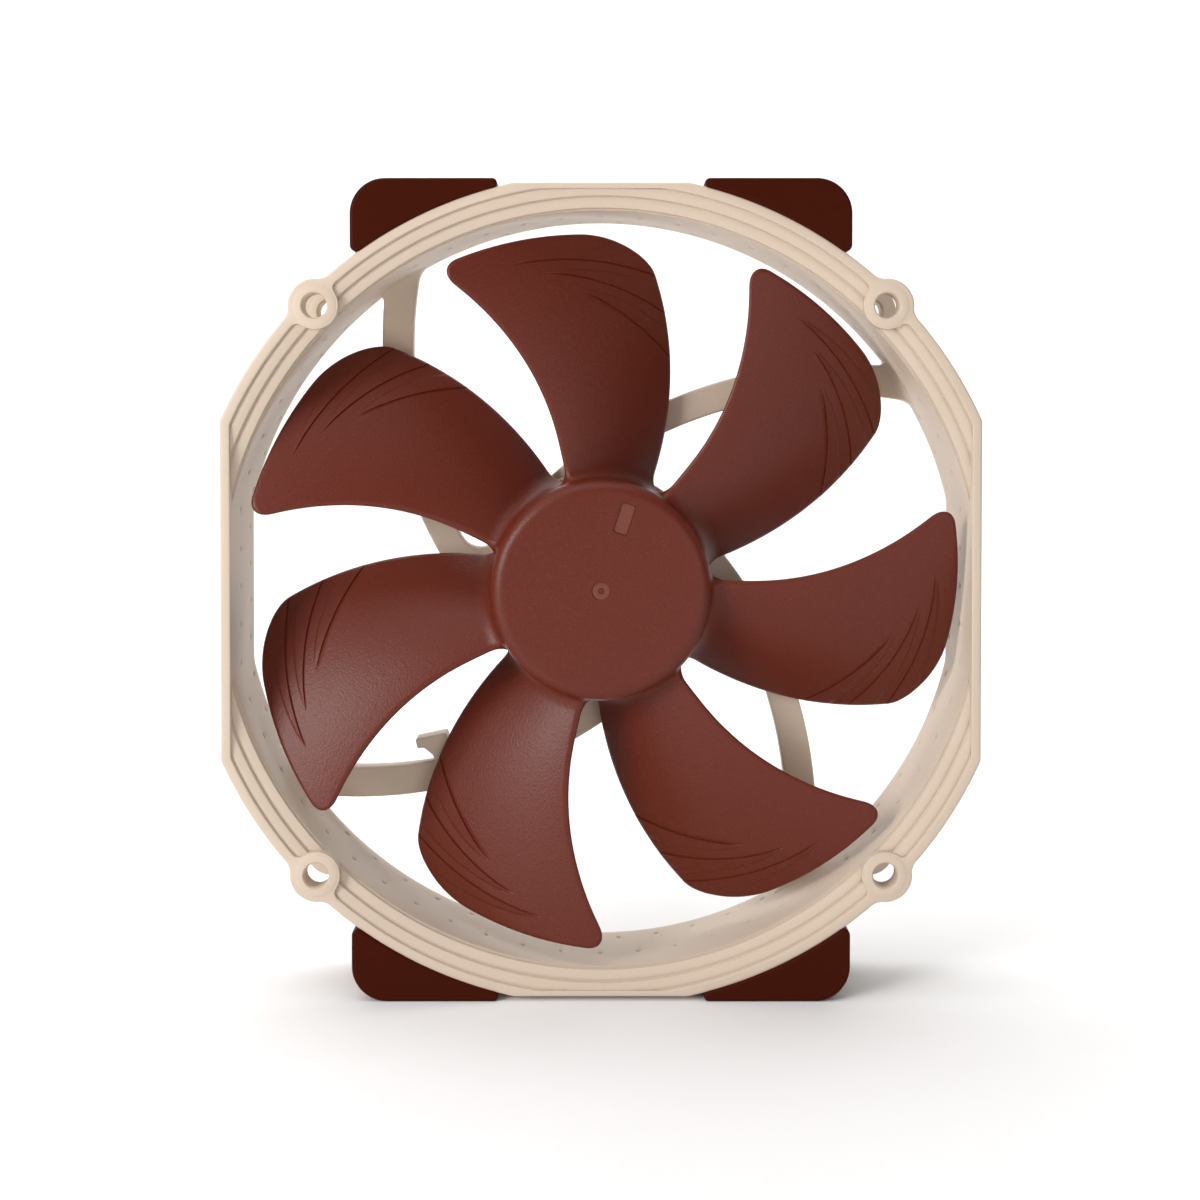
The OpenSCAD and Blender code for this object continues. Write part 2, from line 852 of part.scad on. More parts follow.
module circuit_board() {
    color([0.12, 0.32, 0.18]) upright() slab(board_front, board_rear) difference() {
        circle(board_r);
        circle(tube_r + fit_gap);
        pin_spots() circle(pin_r + 0.05);
    }
}

// A small box on the board's front, at a radius and an angle
module board_part(r, turn, length, width, height) {
    rotate(turn) slab(board_front - height, board_front - 0.02)
        translate([r, 0]) square([width, length], center = true);
}

// Middle of the board's free ring, between the bearing tube and the board's edge
board_middle = (tube_r + board_r) / 2;

module driver_chip() {
    color([0.10, 0.10, 0.11]) upright() board_part(board_middle, 300, 5, 4.4, 0.9);
}

module hall_sensor() {
    color([0.12, 0.12, 0.12]) upright() board_part(magnet_r - magnet_t / 2, 0, 3, 1.6, 0.7);
}

module capacitors() {
    color([0.70, 0.60, 0.45]) upright() {
        board_part(board_middle, 160, 3.2, 1.6, 1);
        board_part(board_middle + 1.3, 200, 3.2, 1.6, 1);
    }
}

module resistors() {
    color([0.18, 0.18, 0.20]) upright() {
        for (turn = [60, 75, 90]) board_part(board_r - 3.3, turn, 1.6, 0.8, 0.5);
    }
}

module rear_label() {
    color([0.80, 0.74, 0.64]) upright() slab(frame_depth - label_t, frame_depth) circle(label_r);
}

frame();
pad_front_top_left();
pad_front_top_right();
pad_front_bottom_left();
pad_front_bottom_right();
pad_rear_top_left();
pad_rear_top_right();
pad_rear_bottom_left();
pad_rear_bottom_right();
impeller();
rotor_yoke();
ring_magnet();
shaft_bush();
shaft();
retaining_ring();
bearing_shell();
bearing_sleeve();
seal_washer();
thrust_plate();
end_cap();
stator_core();
insulator_front();
insulator_rear();
coil_top();
coil_right();
coil_bottom();
coil_left();
terminal_pins();
circuit_board();
driver_chip();
hall_sensor();
capacitors();
resistors();
rear_label();
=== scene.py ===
# %% [markdown]
# # A case fan, finished in Blender
# A case fan is a moulded ring that holds a small motor on four thin arms, and an impeller that turns
# inside it. The CAD model already has every part at its real size. This lesson gives the visible parts
# the rounded edges, terraces, dimples and flow channels that the moulding tool leaves, and then their
# finishes. First the imported CAD parts are loaded, and the frame's box gives the fan's outer sizes.

# %% Load the frame
import json
import math

import bmesh
import bpy
import numpy as np
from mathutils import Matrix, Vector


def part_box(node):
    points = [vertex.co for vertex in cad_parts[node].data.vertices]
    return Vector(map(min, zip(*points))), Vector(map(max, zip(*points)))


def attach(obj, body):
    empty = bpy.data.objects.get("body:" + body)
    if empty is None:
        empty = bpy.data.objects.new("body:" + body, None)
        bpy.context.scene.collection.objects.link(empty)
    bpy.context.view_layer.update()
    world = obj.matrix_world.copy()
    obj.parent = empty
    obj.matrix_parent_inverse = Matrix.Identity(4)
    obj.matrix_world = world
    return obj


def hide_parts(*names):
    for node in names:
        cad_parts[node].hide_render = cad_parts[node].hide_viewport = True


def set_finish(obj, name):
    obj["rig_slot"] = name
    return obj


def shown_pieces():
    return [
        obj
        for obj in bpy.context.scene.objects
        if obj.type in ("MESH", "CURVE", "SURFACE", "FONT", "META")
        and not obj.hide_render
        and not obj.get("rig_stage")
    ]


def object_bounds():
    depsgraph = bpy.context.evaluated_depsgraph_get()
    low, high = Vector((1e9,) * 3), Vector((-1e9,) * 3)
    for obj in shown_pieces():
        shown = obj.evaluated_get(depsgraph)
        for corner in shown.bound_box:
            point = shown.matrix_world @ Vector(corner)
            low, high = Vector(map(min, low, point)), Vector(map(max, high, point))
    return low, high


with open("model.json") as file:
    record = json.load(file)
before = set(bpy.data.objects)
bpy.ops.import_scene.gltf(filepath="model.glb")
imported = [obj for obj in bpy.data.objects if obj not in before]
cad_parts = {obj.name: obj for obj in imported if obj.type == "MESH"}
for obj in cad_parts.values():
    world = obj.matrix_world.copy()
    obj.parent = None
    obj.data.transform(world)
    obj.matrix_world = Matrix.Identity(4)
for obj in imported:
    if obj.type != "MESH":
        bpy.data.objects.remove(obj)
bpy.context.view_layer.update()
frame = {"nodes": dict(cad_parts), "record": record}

# %% [markdown]
# ## Coordinates
# Everything here is worked out in millimetres, in the fan's own terms: x to the right, depth behind the
# inlet face, and z upwards. One function turns that into Blender's metres. The fan's axis runs along Y
# and the inlet face looks towards -Y, so depth simply becomes y.

# %% Units and the fan's main sizes
MM = 0.001
FRAME_DEPTH = 25.0
HALF_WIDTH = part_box("frame")[1][0] / MM
HALF_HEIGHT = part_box("frame")[1][2] / MM
HOLE_PITCH = 105.0
HOLE_DISTANCE = HOLE_PITCH / math.sqrt(2)
DUCT_R = HOLE_DISTANCE - 4.25
RING_R = DUCT_R + 6.7
WALL = 1.8
DUCT_HALF_WIDTH = HALF_WIDTH - WALL
HUB_R = 20.6
HUB_FRONT = 0.8
HUB_REAR = 19.4
SHARP_ANGLE = math.radians(38)
print(f"ring radius {RING_R:.2f} mm, duct radius {DUCT_R:.2f} mm")


def to_blender(points):
    """Fan coordinates (x, depth, z) in mm to Blender's metres: depth moves back by half the frame."""
    return (points - np.array([0, FRAME_DEPTH / 2, 0])) * MM


def polar(r, angle, depth):
    """Points at a radius, an angle in radians from +x, and a depth."""
    r, angle, depth = np.broadcast_arrays(r, angle, depth)
    return np.stack([r * np.cos(angle), depth, r * np.sin(angle)], axis=-1)


# %% [markdown]
# ## From numbers to meshes
# Each shape is a function of two parameters, worked out on a grid as one array. The grid becomes quads
# between neighbouring rows and columns. A direction that comes back to its start, such as once round the
# ring, is joined up, and an open end gets a cap. Points that fall together at a pole are merged.

# %% Mesh helpers
def finish_mesh(name, points, faces, slot, body, replaced):
    """Makes the piece: writes the mesh, merges doubled points, turns faces outwards and smooths it.
    A shape without a body is only a cutter."""
    mesh = bpy.data.meshes.new(name)
    mesh.from_pydata(to_blender(points).tolist(), [], faces)
    shape = bmesh.new()
    shape.from_mesh(mesh)
    bmesh.ops.remove_doubles(shape, verts=shape.verts, dist=2e-6)
    bmesh.ops.recalc_face_normals(shape, faces=shape.faces)
    shape.to_mesh(mesh)
    shape.free()
    mesh.shade_smooth()
    mesh.set_sharp_from_angle(angle=SHARP_ANGLE)
    piece = bpy.data.objects.new(name, mesh)
    bpy.context.scene.collection.objects.link(piece)
    if body:
        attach(piece, body)
        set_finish(piece, slot)
        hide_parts(*replaced)
    return piece


def grid_faces(rows, columns, join_rows, join_columns, start=0):
    """Quads between neighbouring points of a rows x columns grid, as a list of index tuples."""
    i = np.arange(rows if join_rows else rows - 1)[:, None]
    j = np.arange(columns if join_columns else columns - 1)[None, :]
    after_i, after_j = (i + 1) % rows, (j + 1) % columns
    corners = [i * columns + j, after_i * columns + j, after_i * columns + after_j, i * columns + after_j]
    quads = np.stack([np.broadcast_to(c, (i.size, j.size)) for c in corners], axis=-1)
    return (quads.reshape(-1, 4) + start).tolist()


def tube_piece(name, grid, slot, body, replaced=(), closed=False):
    """A piece from a grid whose columns run once round each section. closed joins the last section to
    the first; otherwise each end gets a flat cap."""
    rows, columns = grid.shape[:2]
    faces = grid_faces(rows, columns, closed, True)
    if not closed:
        faces.append(list(range(columns)))
        faces.append(list(range((rows - 1) * columns, rows * columns)))
    return finish_mesh(name, grid.reshape(-1, 3), faces, slot, body, replaced)


def lathe(profile, steps, centre=(0.0, 0.0)):
    """Turns a profile of (radius, depth) points once round an axis along the depth, at centre (x, z)."""
    turn = np.linspace(0, 2 * np.pi, steps, endpoint=False)[:, None]
    grid = polar(profile[None, :, 0], turn, profile[None, :, 1])
    return grid + np.array([centre[0], 0, centre[1]])


def unit(angle):
    """The unit vector at an angle, in radians, in a flat plan."""
    return np.array([math.cos(angle), math.sin(angle)])


def turned(plan, angle):
    """The points of a flat plan, turned about its origin by an angle in radians."""
    first, second = plan[..., 0], plan[..., 1]
    return np.stack([first * math.cos(angle) - second * math.sin(angle),
                     first * math.sin(angle) + second * math.cos(angle)], axis=-1)


def corner_arc(centre, radius, start, end, count=5):
    """Points along an arc in a flat plan, angles in degrees."""
    angle = np.radians(np.linspace(start, end, count))
    return np.stack([centre[0] + radius * np.cos(angle), centre[1] + radius * np.sin(angle)], axis=-1)


def smooth_step(value, low, high):
    """0 below low, 1 above high, and an S-shaped rise between them."""
    share = np.clip((value - low) / (high - low), 0, 1)
    return share * share * (3 - 2 * share)


# %% [markdown]
# ## Camera, floor and light
# The fan is looked at from straight in front and a little above its middle. The frame is shifted more
# than it is tilted, which keeps the ring round. A soft light stands up and to the left, a weaker one
# fills from the right, a wide one overhead clears the shadows, and the floor and the backdrop are one
# pale sweep with a light of their own.

# %% Camera
camera = bpy.data.objects.new("camera", bpy.data.cameras.new("camera"))
bpy.context.scene.collection.objects.link(camera)
camera.location = (-0.0030, -0.3464, 0.0325)
camera.rotation_euler = (math.radians(90 - 1.30), 0, 0)
camera.data.lens = 54.64
camera.data.sensor_width = 36
camera.data.shift_x = 0.0128
camera.data.shift_y = -0.12
camera.data.clip_start = 0.01
bpy.context.scene.camera = camera

# %% Floor and backdrop in one sweep
FLOOR_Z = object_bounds()[0][2] / MM
SWEEP_R = 500.0
bend = np.radians(np.linspace(0, 90, 17))
sweep = np.concatenate([
    [[-1500.0, 0.0]],
    np.stack([700 + SWEEP_R * np.sin(bend), SWEEP_R * (1 - np.cos(bend))], axis=-1),
    [[700 + SWEEP_R, 2500.0]],
])
across = np.linspace(-2500, 2500, 9)
floor_points = np.stack([
    np.broadcast_to(across[:, None], (across.size, len(sweep))),
    np.broadcast_to(sweep[None, :, 0] + FRAME_DEPTH / 2, (across.size, len(sweep))),
    np.broadcast_to(sweep[None, :, 1] + FLOOR_Z, (across.size, len(sweep))),
], axis=-1)
floor_mesh = bpy.data.meshes.new("floor")
floor_faces = grid_faces(across.size, len(sweep), False, False)
floor_mesh.from_pydata(to_blender(floor_points.reshape(-1, 3)).tolist(), [], floor_faces)
floor_mesh.shade_smooth()
floor = bpy.data.objects.new("floor", floor_mesh)
bpy.context.scene.collection.objects.link(floor)
floor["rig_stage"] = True


# %% Lights
def soft_light(name, place, aim, size, watts, colour):
    """A square area light at place, turned to face aim, both in metres."""
    data = bpy.data.lights.new(name, "AREA")
    data.size = size
    data.energy = watts
    data.color = colour
    light = bpy.data.objects.new(name, data)
    bpy.context.scene.collection.objects.link(light)
    direction = np.array(aim) - np.array(place)
    flat = math.hypot(direction[0], direction[1])
    light.rotation_euler = (math.atan2(flat, -direction[2]), 0, math.atan2(-direction[0], direction[1]))
    light.location = place


soft_light("key_light", (-0.62, -0.60, 0.23), (0, 0, 0), 0.36, 5.7, (1.0, 0.975, 0.965))
soft_light("fill_light", (0.36, -0.62, -0.03), (0.04, 0, -0.05), 0.5, 1.3, (1.0, 0.975, 0.965))
soft_light("overhead_light", (-0.2, -0.15, 0.95), (0, 0.05, -0.1), 1.1, 6.5, (1, 1, 1))
soft_light("backdrop_light", (0.0, 0.5, 0.9), (0, 1.25, 0.2), 1.4, 11, (1, 1, 1))

world = bpy.data.worlds.new("studio")
bpy.context.scene.world = world
world.use_nodes = True
world.node_tree.nodes["Background"].inputs["Color"].default_value = (1, 1, 1, 1)
world.node_tree.nodes["Background"].inputs["Strength"].default_value = 0.16
bpy.context.scene.view_settings.view_transform = "Standard"

# %% [markdown]
# ## The ring
# The ring is one moulding: a thin duct wall with a flange at each end, two sloping terraces round the
# inlet, and a lug for each screw. Cut it at any angle and the section is one closed outline, so the ring
# is that outline carried once round the axis. Only its radii change with the angle: where the flats
# shave the circle, where a lug bulges out, and where the plain face round a hole pushes into the
# terraces. Two rows of small dimples sink into the duct wall, half a pitch apart.

# %% Radii that change round the ring
LUG_R, LUG_FILLET = 4.95, 3.0
FACE_R, FACE_FILLET = 4.35, 1.5
STEP_THREE_R = DUCT_R + 0.5
TERRACE_W, LIP_W = 2.15, 0.5
STEP_TWO_R = STEP_THREE_R + TERRACE_W
STEP_ONE_R = STEP_TWO_R + TERRACE_W
STEP_DROP, TERRACE_FALL, GUTTER = 0.6, 0.4, 0.18
RIM_FLAT = 1.1
FLANGE_T = 5.0
STRUT_FOOT = math.radians(-57.2)


def fold_to_lug(angle):
    """Angle from the nearest screw lug, which lie on the diagonals."""
    return np.abs(np.mod(angle, np.pi / 2) - np.pi / 4)


def bulge(off, big_r, small_r, fillet, side):
    """Radius of a big circle where a small circle on a diagonal meets it with a round fillet.
    side 1 is a lug that stands out of the circle, side -1 a face that pushes into it."""
    hinge = big_r + side * fillet
    reach = small_r + fillet
    turn = math.acos((hinge**2 + HOLE_DISTANCE**2 - reach**2) / (2 * hinge * HOLE_DISTANCE))
    touch = np.array([HOLE_DISTANCE, 0.0])
    touch = touch + (hinge * unit(turn) - touch) * small_r / reach
    touch_turn = math.atan2(touch[1], touch[0])
    on_small = HOLE_DISTANCE * np.cos(off) + side * np.sqrt(
        np.maximum(small_r**2 - (HOLE_DISTANCE * np.sin(off)) ** 2, 0))
    back = turn - off
    on_fillet = hinge * np.cos(back) - side * np.sqrt(np.maximum(fillet**2 - (hinge * np.sin(back)) ** 2, 0))
    return np.where(off < touch_turn, on_small, np.where(off < turn, on_fillet, big_r))


def clip_to_flats(radius, angle, half_width, half_height=1e6):
    """The radius, cut off at vertical flats and at level flats."""
    across = half_width / np.maximum(np.abs(np.cos(angle)), 1e-6)
    upward = half_height / np.maximum(np.abs(np.sin(angle)), 1e-6)
    return np.minimum(np.minimum(radius, across), upward)


def terrace_depth(r):
    """Depth of the inlet's face inside the rim. Each terrace starts in a narrow gutter at the foot of
    its step, crowns, and then falls towards the duct."""
    depth = 0.0
    for number, line in enumerate((STEP_ONE_R, STEP_TWO_R, STEP_THREE_R)):
        width = TERRACE_W if number < 2 else LIP_W
        along = np.clip((line - r) / width, 0, 1)
        top = number * (STEP_DROP + TERRACE_FALL) + STEP_DROP
        face = top + TERRACE_FALL * along**2 * (number < 2) + GUTTER * np.exp(-((line - r) / 0.3) ** 2)
        depth = depth + (face - depth) * smooth_step(line - r, -0.08, 0.14)
    return depth


# %% The ring's section at every angle
EDGE, SMALL_EDGE = 0.5, 0.3
DIMPLE_ROWS, DIMPLE_R, DIMPLE_SINK = (11.0, 21.0), 0.62, 0.4
DIMPLE_PITCH = math.radians(6)


def ring_angles():
    """Angles round the ring, in radians: gathered at every dimple, and dense near the lugs."""
    half_pitch = math.degrees(DIMPLE_PITCH) / 2
    near_dimple = np.array([-0.56, -0.38, -0.2, 0.0, 0.2, 0.38, 0.56, half_pitch / 2])
    cells = (np.arange(0, 360, half_pitch)[:, None] + near_dimple).ravel()
    near_lugs = (np.array([45, 135, 225, 315])[:, None] + np.arange(-4.6, 4.7, 0.2)).ravel()
    every = np.sort(np.mod(np.concatenate([cells, near_lugs]), 360))
    closest = 0.03
    return np.radians(every[np.diff(every, prepend=-1) > closest])


ring_angle = ring_angles()
off_lug = fold_to_lug(ring_angle)
duct = clip_to_flats(DUCT_R, ring_angle, DUCT_HALF_WIDTH)
wall_out = clip_to_flats(DUCT_R + WALL, ring_angle, HALF_WIDTH, HALF_HEIGHT)
plain_out = clip_to_flats(RING_R, ring_angle, HALF_WIDTH, HALF_HEIGHT)
lug_out = bulge(off_lug, RING_R, LUG_R, LUG_FILLET, 1)
flange_out = np.where(lug_out > RING_R + 1e-6, lug_out, plain_out)
rim_in = clip_to_flats(STEP_ONE_R, ring_angle, DUCT_HALF_WIDTH, HALF_HEIGHT - RIM_FLAT)
rim_in = np.minimum(rim_in, bulge(off_lug, STEP_ONE_R, FACE_R, FACE_FILLET, -1))

section = []


def add_point(radius, depth):
    """Appends one line of the section: a radius and a depth for every angle."""
    section.append((np.broadcast_to(radius, ring_angle.shape), np.broadcast_to(depth, ring_angle.shape)))


def add_edge(radius, depth, turn_from, turn_to, size):
    """Rounds an outer edge: a short arc between two directions, in degrees."""
    for a in np.radians(np.linspace(turn_from, turn_to, 4)):
        add_point(radius - size + size * math.cos(a), depth + size * math.sin(a))


# Front: the outer edge and the rim with its broken inner edge. Then come the terraces. Their lines stop
# at the rim's inner edge, where they gather and form the wall that a flat or a hole's face cuts
add_edge(flange_out, EDGE, 0, -90, EDGE)
for inset, depth in ((0.28, 0.0), (0.13, 0.02), (0.04, 0.08)):
    add_point(np.minimum(rim_in, flange_out - EDGE - SMALL_EDGE) + inset, depth)
STEP_SPOTS, TERRACE_SPAN, GATHER = (0.08, 0.02, -0.04, -0.09, -0.14, -0.2, -0.3), 1.65, 0.001
terrace_radii = []
for line, count in ((STEP_ONE_R, 4), (STEP_TWO_R, 4), (STEP_THREE_R, 0)):
    terrace_radii += [line + spot for spot in STEP_SPOTS]
    terrace_radii += [line + STEP_SPOTS[-1] - TERRACE_SPAN * (k + 0.8) / count for k in range(count)]
for number, nominal in enumerate(terrace_radii):
    nominal_depth = max(terrace_depth(np.array(nominal)), 0.1)
    add_point(np.minimum(nominal, rim_in - GATHER * number), nominal_depth)
lip_start, lip_depth, lip_round = terrace_radii[-1], float(terrace_depth(np.array(terrace_radii[-1]))), 1.15
for a in np.radians((25, 45, 65, 80, 90)):
    nominal = DUCT_R + (lip_start - DUCT_R) * (1 - math.sin(a))
    lip_radius = np.where(duct < DUCT_R, np.minimum(nominal, duct), nominal)
    add_point(lip_radius, lip_depth + lip_round * (1 - math.cos(a)))

# Duct wall, with two rows of dimples
across_dimple = [DIMPLE_R * spot for spot in (-1.02, -0.72, -0.38, 0.0, 0.38, 0.72, 1.02)]
front_row, rear_row = ([row_depth + spot for spot in across_dimple] for row_depth in DIMPLE_ROWS)
for depth in [5.5, 9.0] + front_row + [sum(DIMPLE_ROWS) / 2] + rear_row:
    sink = 0
    for row, row_depth in enumerate(DIMPLE_ROWS):
        past_row_start = ring_angle + (row + 1) * DIMPLE_PITCH / 2
        from_dimple = (np.mod(past_row_start, DIMPLE_PITCH) - DIMPLE_PITCH / 2) * DUCT_R
        distance = np.hypot(from_dimple, depth - row_depth) / DIMPLE_R
        sink = sink + DIMPLE_SINK * (1 - smooth_step(distance, 0.5, 1.0))
    add_point(duct + sink, depth)

# Rear face, with a shallow relief beside each strut's foot
REAR = FRAME_DEPTH
past_foot = np.degrees(np.mod(ring_angle - STRUT_FOOT, np.pi / 2))
relief = 0.4 * smooth_step(past_foot, 1.6, 1.9) * (1 - smooth_step(past_foot, 4.5, 4.8))
add_point(duct, REAR - 1.6)
add_point(duct + relief, REAR - 1.4)
for a in np.radians((20, 50, 90)):
    add_point(duct + relief + SMALL_EDGE * (1 - math.cos(a)), REAR - SMALL_EDGE * (1 - math.sin(a)))
add_point(0.5 * (duct + flange_out), REAR)

# Rear flange, the outside of the duct wall with its fillets, and the back of the front flange
WALL_FILLET = 0.6
fillet_out = np.maximum(np.minimum(wall_out + WALL_FILLET, flange_out - SMALL_EDGE), wall_out)
add_edge(flange_out, REAR - EDGE, 90, 0, EDGE)
add_edge(flange_out, REAR - FLANGE_T + SMALL_EDGE, 0, -90, SMALL_EDGE)
add_point(fillet_out, REAR - FLANGE_T)
add_point(wall_out, REAR - FLANGE_T - WALL_FILLET)
add_point(wall_out, FLANGE_T + WALL_FILLET)
add_point(fillet_out, FLANGE_T)
add_edge(flange_out, FLANGE_T - SMALL_EDGE, 90, 0, SMALL_EDGE)

ring_grid = np.stack([polar(r, ring_angle, d) for r, d in section], axis=1)
print("ring grid", ring_grid.shape[:2], "points")


# %% [markdown]
# The screw holes are drilled afterwards with a boolean cut, as they can't be part of a section that is
# carried round. Each hole then gets a collar: a thin raised washer face with its own crisp bore, which
# is what the ejector sleeve leaves on the real moulding.

# %% Drill the ring and add the hole collars
def cut_away(piece, cutters):
    """Subtracts closed shapes from a piece and keeps only the result."""
    for cutter in cutters:
        cutter_change = piece.modifiers.new("cut", "BOOLEAN")
        cutter_change.object = cutter
        cutter_change.operation = "DIFFERENCE"
        cutter_change.solver = "EXACT"
    bpy.context.view_layer.update()
    evaluated = piece.evaluated_get(bpy.context.evaluated_depsgraph_get())
    result = bpy.data.meshes.new_from_object(evaluated)
    result.name = piece.name
    piece.modifiers.clear()
    old, piece.data = piece.data, result
    bpy.data.meshes.remove(old)
    piece.data.shade_smooth()
    piece.data.set_sharp_from_angle(angle=SHARP_ANGLE)
    for cutter in cutters:
        mesh = cutter.data
        bpy.data.objects.remove(cutter)
        bpy.data.meshes.remove(mesh)


HOLE_R, CUT_R, CUT_PAST, COLLAR_R, PROUD = 2.25, 2.6, 3.0, 3.95, 0.1
HOLE_CENTRES = [(sx * HOLE_PITCH / 2, sz * HOLE_PITCH / 2) for sx in (-1, 1) for sz in (-1, 1)]
ring = tube_piece("frame_ring", ring_grid, "frame_plastic", "stator", ["frame"], closed=True)
drill_profile = np.array([[0, -CUT_PAST], [CUT_R, -CUT_PAST], [CUT_R, REAR + CUT_PAST],
                          [0, REAR + CUT_PAST]])
drills = [tube_piece("drill", lathe(drill_profile, 48, centre), "", None, closed=True)
          for centre in HOLE_CENTRES]
cut_away(ring, drills)
print("frame ring:", len(ring.data.polygons), "faces")


def collar_profile(front, rear):
    """Section of a hole collar: a bore with broken edges and a slightly raised washer face at each end."""
    return np.array([
        [HOLE_R, front + 0.5], [HOLE_R + 0.07, front + 0.18], [HOLE_R + 0.3, front - PROUD],
        [COLLAR_R - 0.14, front - PROUD], [COLLAR_R - 0.03, front - 0.4 * PROUD], [COLLAR_R, front + 0.1],
        [COLLAR_R, rear - 0.1], [COLLAR_R - 0.03, rear + 0.4 * PROUD], [COLLAR_R - 0.14, rear + PROUD],
        [HOLE_R + 0.3, rear + PROUD], [HOLE_R + 0.07, rear - 0.18], [HOLE_R, rear - 0.5]])


for number, centre in enumerate(HOLE_CENTRES, 1):
    for place, front, rear in (("front", 0.0, FLANGE_T), ("rear", REAR - FLANGE_T, REAR)):
        tube_piece(f"hole_collar_{place}_{number}", lathe(collar_profile(front, rear), 64, centre),
                   "frame_plastic", "stator", ["frame"], closed=True)

# %% [markdown]
# ## The struts and the motor base
# Four bowed arms carry the motor. Each one is a rounded bar carried along an arc, wider at the duct than
# at the motor, and it flares where it grows out of the wall at both ends, as a moulded rib does. The
# motor base is a shallow cup with a recess for the label, so its section is simply turned.

# %% Struts
STRUT_T, STRUT_HEAD, STRUT_BOW = 3.6, math.radians(28), 8.3
BASE_R, BASE_RIM, BASE_FRONT = HUB_R + 0.9, 1.8, 20.6
FOOT_FILLET, FOOT_RISE, HEAD_FILLET = 1.3, 1.8, 4.3


def strut_path(share):
    """A point and a unit normal at each share of the bowed centre line, from the duct to the base. Also
    the centre and the radius of the arc that the line is a part of."""
    foot = (DUCT_R + WALL / 2) * unit(STRUT_FOOT)
    head = (BASE_R - BASE_RIM) * unit(STRUT_HEAD)
    chord = np.linalg.norm(head - foot)
    radius = ((chord / 2) ** 2 + STRUT_BOW**2) / (2 * STRUT_BOW)
    side = np.array([head[1] - foot[1], foot[0] - head[0]]) / chord
    centre = (foot + head) / 2 - side * (radius - STRUT_BOW)
    start = math.atan2(*(foot - centre)[::-1])
    end = math.atan2(*(head - centre)[::-1])
    bearing = start + share * (end - start)
    normal = np.stack([np.cos(bearing), np.sin(bearing)], axis=-1)
    return centre + radius * normal, normal, centre, radius


def flare(distance, reach):
    """1 at the wall and 0 from reach on, falling like the inside of a round fillet."""
    near = np.clip(1 - distance / reach, 0, 1)
    return 1 - np.sqrt(1 - near**2)


def strut_width(share):
    """Half the width of a strut at each share of its length."""
    return 3.1 - 0.55 * share


# %% A strut's plan, with its fillets at both ends
def foot_fillet(plan, normal, across):
    """Swings each side line out along the duct's wall like a fillet, and ends it inside the wall. Also
    gives each point's distance from the wall."""
    reach = np.linalg.norm(plan, axis=-1, keepdims=True)
    gap = np.maximum(DUCT_R - reach[..., 0], 0)
    along_wall = np.stack([-plan[..., 1], plan[..., 0]], axis=-1) / reach
    along_wall *= np.sign(np.sum(along_wall * normal[:, None, :], axis=-1, keepdims=True))
    swing = FOOT_FILLET * flare(gap, 1.5) * np.sign(across) * np.abs(across) ** 4
    return (plan + along_wall * swing[..., None]) * np.minimum(1, (DUCT_R + 0.7 * WALL) / reach), gap


def head_fillet(plan, share, across):
    """Rounds the corner between a strut's inner side and the base. The fillet's circle touches the base
    and the arc of that side, and a side point within its reach moves round the axis onto the circle."""
    side_r = arc_r - strut_width(0.8)
    arc_distance = np.hypot(*arc_centre)
    distance = BASE_R + HEAD_FILLET
    away_turn = math.acos((distance**2 + arc_distance**2 - (side_r - HEAD_FILLET) ** 2)
                          / (2 * distance * arc_distance))
    centre_turn = math.atan2(arc_centre[1], arc_centre[0]) + away_turn
    centre = distance * unit(centre_turn)
    away = centre - arc_centre
    touch_reach = np.hypot(*(centre + HEAD_FILLET * away / np.hypot(*away)))
    reach = np.maximum(np.linalg.norm(plan, axis=-1), BASE_R)
    turn = np.arctan2(plan[..., 1], plan[..., 0])
    cosine = (reach**2 + distance**2 - HEAD_FILLET**2) / (2 * reach * distance)
    on_circle = centre_turn + np.arccos(np.clip(cosine, -1, 1))
    near = (share[:, None] > 0.6) & (on_circle < turn) & (cosine < 1) & (reach < touch_reach)
    inward = np.where(across < 0, np.abs(across), 0) ** 3
    turn = turn + np.where(near, (on_circle - turn) * inward, 0)
    reach = np.maximum(np.linalg.norm(plan, axis=-1), BASE_R - BASE_RIM / 2)
    print(f"head fillet at {math.degrees(centre_turn):.1f} degrees")
    return np.stack([reach * np.cos(turn), reach * np.sin(turn)], axis=-1)


# %% Strut section, as shares of its half width and as depths below its front
SECTION_ROUND, CREST, BACK_EDGE = 0.14, 0.5, 0.3
front_turns = np.radians(np.linspace(90, 0, 6))
side_x = 1 - SECTION_ROUND + SECTION_ROUND * np.cos(front_turns)
section_across = np.concatenate([-side_x[::-1], np.linspace(-0.7, 0.7, 8), side_x, [1.0, 0.95, -0.95, -1.0]])
round_down = CREST * (1 - np.sin(front_turns))
back = [STRUT_T - BACK_EDGE, STRUT_T, STRUT_T, STRUT_T - BACK_EDGE]
section_down = np.concatenate([round_down[::-1], np.zeros(8), round_down, back])

